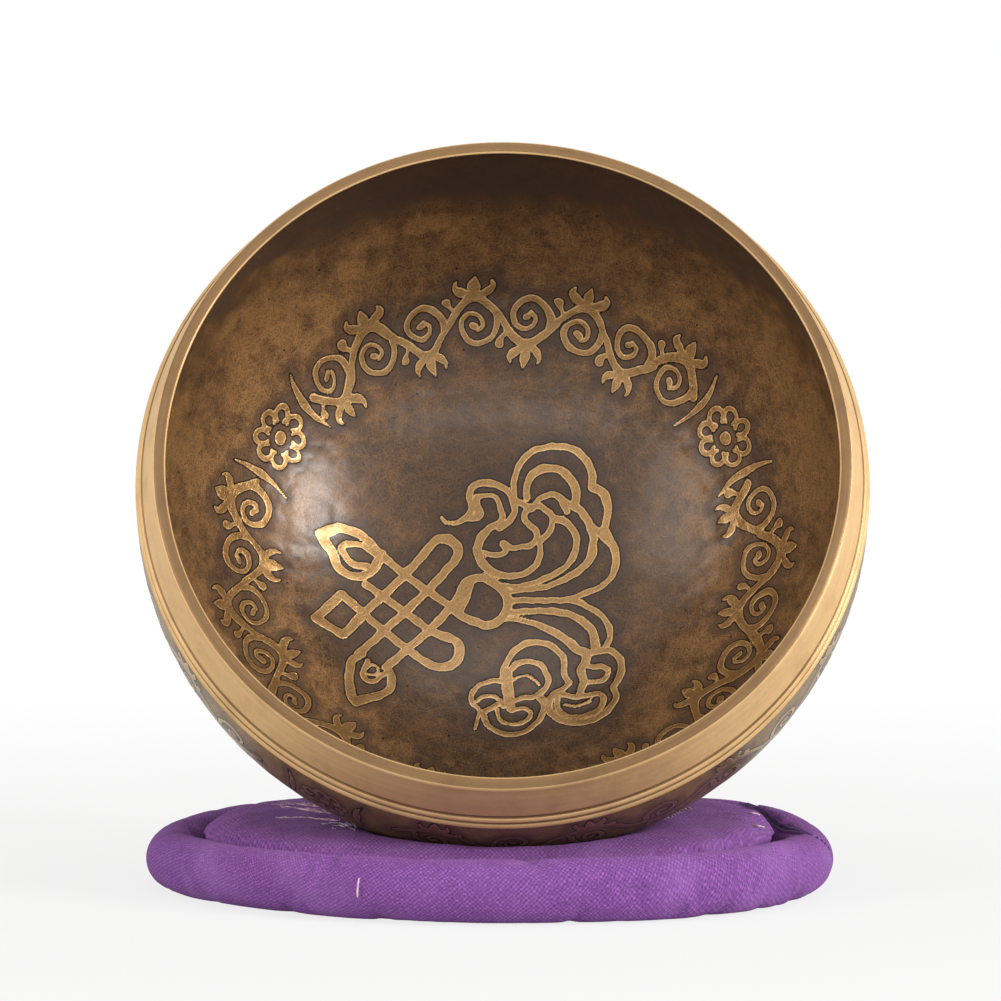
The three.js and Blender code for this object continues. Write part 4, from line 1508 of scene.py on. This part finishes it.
def make_sewing():
    """Ladder stitches in the ring seam, the closing seam's cross stitches, and the ends left loose."""
    dark = spun_cotton("cotton_thread_dark", "#5a3370", "#3b1f4e", 0.3)
    pale = spun_cotton("cotton_thread_pale", "#f0d3e0", "#b98aa9", 0.3)
    grey = spun_cotton("cotton_fluff_grey", "#eadfec", "#a996ae", 0.3)
    ladder = []
    for i in range(LADDER_STITCHES):
        turn = 2 * math.pi * (i + 0.5) / LADDER_STITCHES
        stitch = []
        for radius, height, slip in LADDER_STITCH:
            angle = turn + slip / ROLL_CENTRE_RADIUS
            stitch.append((radius * math.cos(angle), radius * math.sin(angle), height))
        ladder.append(smooth_line(stitch, 0.25))
    make_thread("ring_seam_stitches", ladder, 0.16, dark)

    line = closing_line(-SEAM_SINK * 0.75)
    run = np.concatenate([[0], np.cumsum(np.linalg.norm(np.diff(line, axis=0), axis=1))])
    stitches = []
    for stop in np.arange(0.6, run[-1] - 0.6, CLOSING_PITCH):
        at = []
        for slip in (-0.35, 0, 0.35):
            at.append(np.array([np.interp(stop + slip, run, line[:, axis]) for axis in range(3)]))
        plan = at[1].copy()
        plan[2] = 0
        heart = plan / np.linalg.norm(plan) * ROLL_CENTRE_RADIUS
        heart[2] = SEAM_HEIGHT
        outward = (at[1] - heart) / np.linalg.norm(at[1] - heart)
        ahead = (at[2] - at[0]) / np.linalg.norm(at[2] - at[0])
        across = np.cross(outward, ahead)
        path = [
            at[0] - across * 0.95 + outward * 0.42,
            at[0] - across * 0.6 + outward * 0.5,
            at[1] + outward * 0.28,
            at[2] + across * 0.6 + outward * 0.5,
            at[2] + across * 0.95 + outward * 0.42,
        ]
        stitches.append(smooth_line(path, 0.2))
    make_thread("closing_seam_stitches", stitches, 0.15, dark)

    loose = [
        on_pad([(-40.1, 9.2), (-34.8, 9.6), (-30.7, 8.0), (-26.6, 6.8)], 0.3, 0.18, 81),
        on_pad([(-38.4, 7.6), (-32.7, 1.8), (-27.3, -2.0)], 0.3, 0.16, 84),
        on_pad([(-38.7, -7.8), (-33.3, -7.3), (-27.2, -9.8)], 0.3, 0.16, 87),
        on_pad([(-38.9, 12.5), (-33.0, 12.0), (-28.0, 10.6)], 0.3, 0.16, 90),
        on_pad([(-38.0, 4.5), (-32.5, 3.5), (-27.0, 2.2)], 0.3, 0.16, 93),
    ]
    make_thread("loose_thread_ends", loose, 0.12, pale, plies=2)
    stitch = [roll_place(-111, s, 0.14) for s in (30, 22, 12, 2, -6)]
    make_thread("basting_stitch", [smooth_line(stitch, 0.2)], 0.17, pale)
    chance = np.random.default_rng(91)
    fluff = []
    for i in range(26):
        x, y = -25.5 + chance.normal() * 1.6, -15.5 + chance.normal() * 3.4
        far = (x + chance.uniform(-2.2, 2.2), y + chance.uniform(-2.6, 2.6))
        bend = (x + chance.uniform(-1, 1), y + chance.uniform(-1, 1))
        fluff.append(on_pad([(x, y), bend, far], chance.uniform(0.1, 0.9), 0.2, 100 + i))
    stitches = []
    for i in range(9):
        x, y = 31.2 + 0.66 * i, -5.0 + 1.4 * i
        stitches.append(on_pad([(x, y), (x + 0.3, y - 1.6), (x + 0.7, y - 3.0)], 0.4, 0.1, 140 + i))
    for x, y in ((48.6, 1.0), (48.9, -12.0)):
        curl = on_pad([(x - 1.6, y), (x - 0.4, y - 1.0), (x + 0.9, y + 0.4)], 0.2)
        curl[:, 2] += 0.5 * np.sin(np.linspace(0.2, 2.6, len(curl)))
        stitches.append(curl)
    make_thread("tacking_thread_ends", stitches, 0.15, pale)
    make_thread("cotton_fluff", fluff, 0.06, grey)


# Studio
AMBIENT = 0.37
FLOOR_SIZE = 6.0
PAPER_GLOW = 0.8
LIGHTS_AIM = (0, 0, 0.07)
# Name, azimuth and elevation in degrees, distance and size in metres, and power in watts
SOFTBOXES = [
    ("key_softbox", 57, 18, 1.1, (0.3, 0.42), 7.6),
    ("fill_softbox", -56, 20, 1.2, (0.6, 0.7), 4.2),
    ("overhead_softbox", 10, 72, 1.2, (0.9, 0.6), 2.8),
    ("low_softbox", 0, -1, 1.25, (1.6, 0.1), 2.6),
    ("left_softbox", -98, 16, 1.2, (0.6, 0.6), 1.2),
    ("right_softbox", 98, 16, 1.2, (0.6, 0.6), 2),
]


def seen_directly(owner):
    """1 where a ray from the camera, a reflection or glass meets the surface, else 0."""
    camera = add(owner, "LightPath", out="Is Camera Ray")
    glossy = add(owner, "LightPath", out="Is Glossy Ray")
    through = add(owner, "LightPath", out="Is Transmission Ray")
    either = add(owner, "Math", camera, glossy, operation="MAXIMUM")
    return add(owner, "Math", either, through, operation="MAXIMUM")


def make_world():
    world = bpy.data.worlds.new("studio")
    bpy.context.scene.world = world
    world.use_nodes = True
    world.node_tree.nodes.clear()
    grey = [AMBIENT, AMBIENT, AMBIENT, 1]
    colour = add(world, "Mix", seen_directly(world), grey, [1, 1, 1, 1], data_type="RGBA")
    add(world, "OutputWorld", add(world, "Background", colour, 1.0))


def make_floor():
    """Matt white paper: it keeps a soft shadow near the object and shows white beyond."""
    paper = new_material("matt_white_paper")
    matt = add(paper, "BsdfDiffuse", linear("#dcdbd9"))
    glow = add(paper, "Emission", [1, 1, 1, 1], 1.0)
    distance = add(paper, "VectorMath", add(paper, "TexCoord", out="Object"), operation="LENGTH", out="Value")
    share = add(paper, "MapRange", distance, 0.08, 0.45, PAPER_GLOW, 1.0, interpolation_type="SMOOTHSTEP")
    white = add(paper, "MixShader", share, matt, glow)
    add(paper, "OutputMaterial", add(paper, "MixShader", seen_directly(paper), matt, white))
    half = FLOOR_SIZE / 2 / MM
    corners = [(-half, -half, 0), (half, -half, 0), (half, half, 0), (-half, half, 0)]
    make_object("floor", corners, [[0, 1, 2, 3]], [paper])


def make_softbox(name, azimuth, elevation, distance, size, power):
    """A soft box that faces the bowl; azimuth is from the camera's side towards +X, in degrees."""
    data = bpy.data.lights.new(name, "AREA")
    data.shape = "RECTANGLE"
    data.size, data.size_y = size
    data.energy = power
    light = bpy.data.objects.new(name, data)
    a, e = math.radians(azimuth), math.radians(elevation)
    back = Vector((math.sin(a) * math.cos(e), -math.cos(a) * math.cos(e), math.sin(e)))
    light.location = Vector(LIGHTS_AIM) + back * distance
    light.rotation_euler = (-back).to_track_quat("-Z", "Y").to_euler()
    light.visible_camera = False
    bpy.context.collection.objects.link(light)


make_camera()
make_world()
make_floor()
for softbox in SOFTBOXES:
    make_softbox(*softbox)

patina_inside = patinated_hammered_bronze(
    "bronze_hammered_patinated",
    # smooth is the sanded ground round the strokes and the painted shade under the lip
    smooth="#524036",
    dark="#33251b",
    light="#70523a",
    rubbed="#a87c4c",
    brass=("#7d5930", "#dcae70"),
    bitten="#140d09",
    coat=0.5,
    metal_share=0.2,
)
patina_outside = patinated_hammered_bronze(
    "bronze_hammered_patinated_outside",
    smooth="#65503a",
    dark="#523f2d",
    light="#9d8057",
    rubbed="#a78752",
    brass=("#846a44", "#cbaa7c"),
    bitten="#140d09",
    coat=0.05,
    metal_share=0.25,
)
turned_lip = turned_bronze("bronze_turned_lip", "#775a3c", "#95744e", "#5a4434", 0.3, 0.3, 0.7, 0.42)
turned_band = turned_bronze("bronze_turned_band", "#c9a16c", "#dcb780", "#8f6a45", 0.3, 0.4, 0.4, 0.48)
make_bowl([patina_inside, turned_lip, turned_band, patina_outside])

twill = cotton_twill("cotton_twill_dyed", "#a568ba", "#46205c", "#b583ca")
filling = loose_cotton("cotton_filling_loose", "#efe8db", "#b9b0a2")
make_roll(twill, filling)
make_centre(twill, filling)
make_base(twill)
make_sewing()
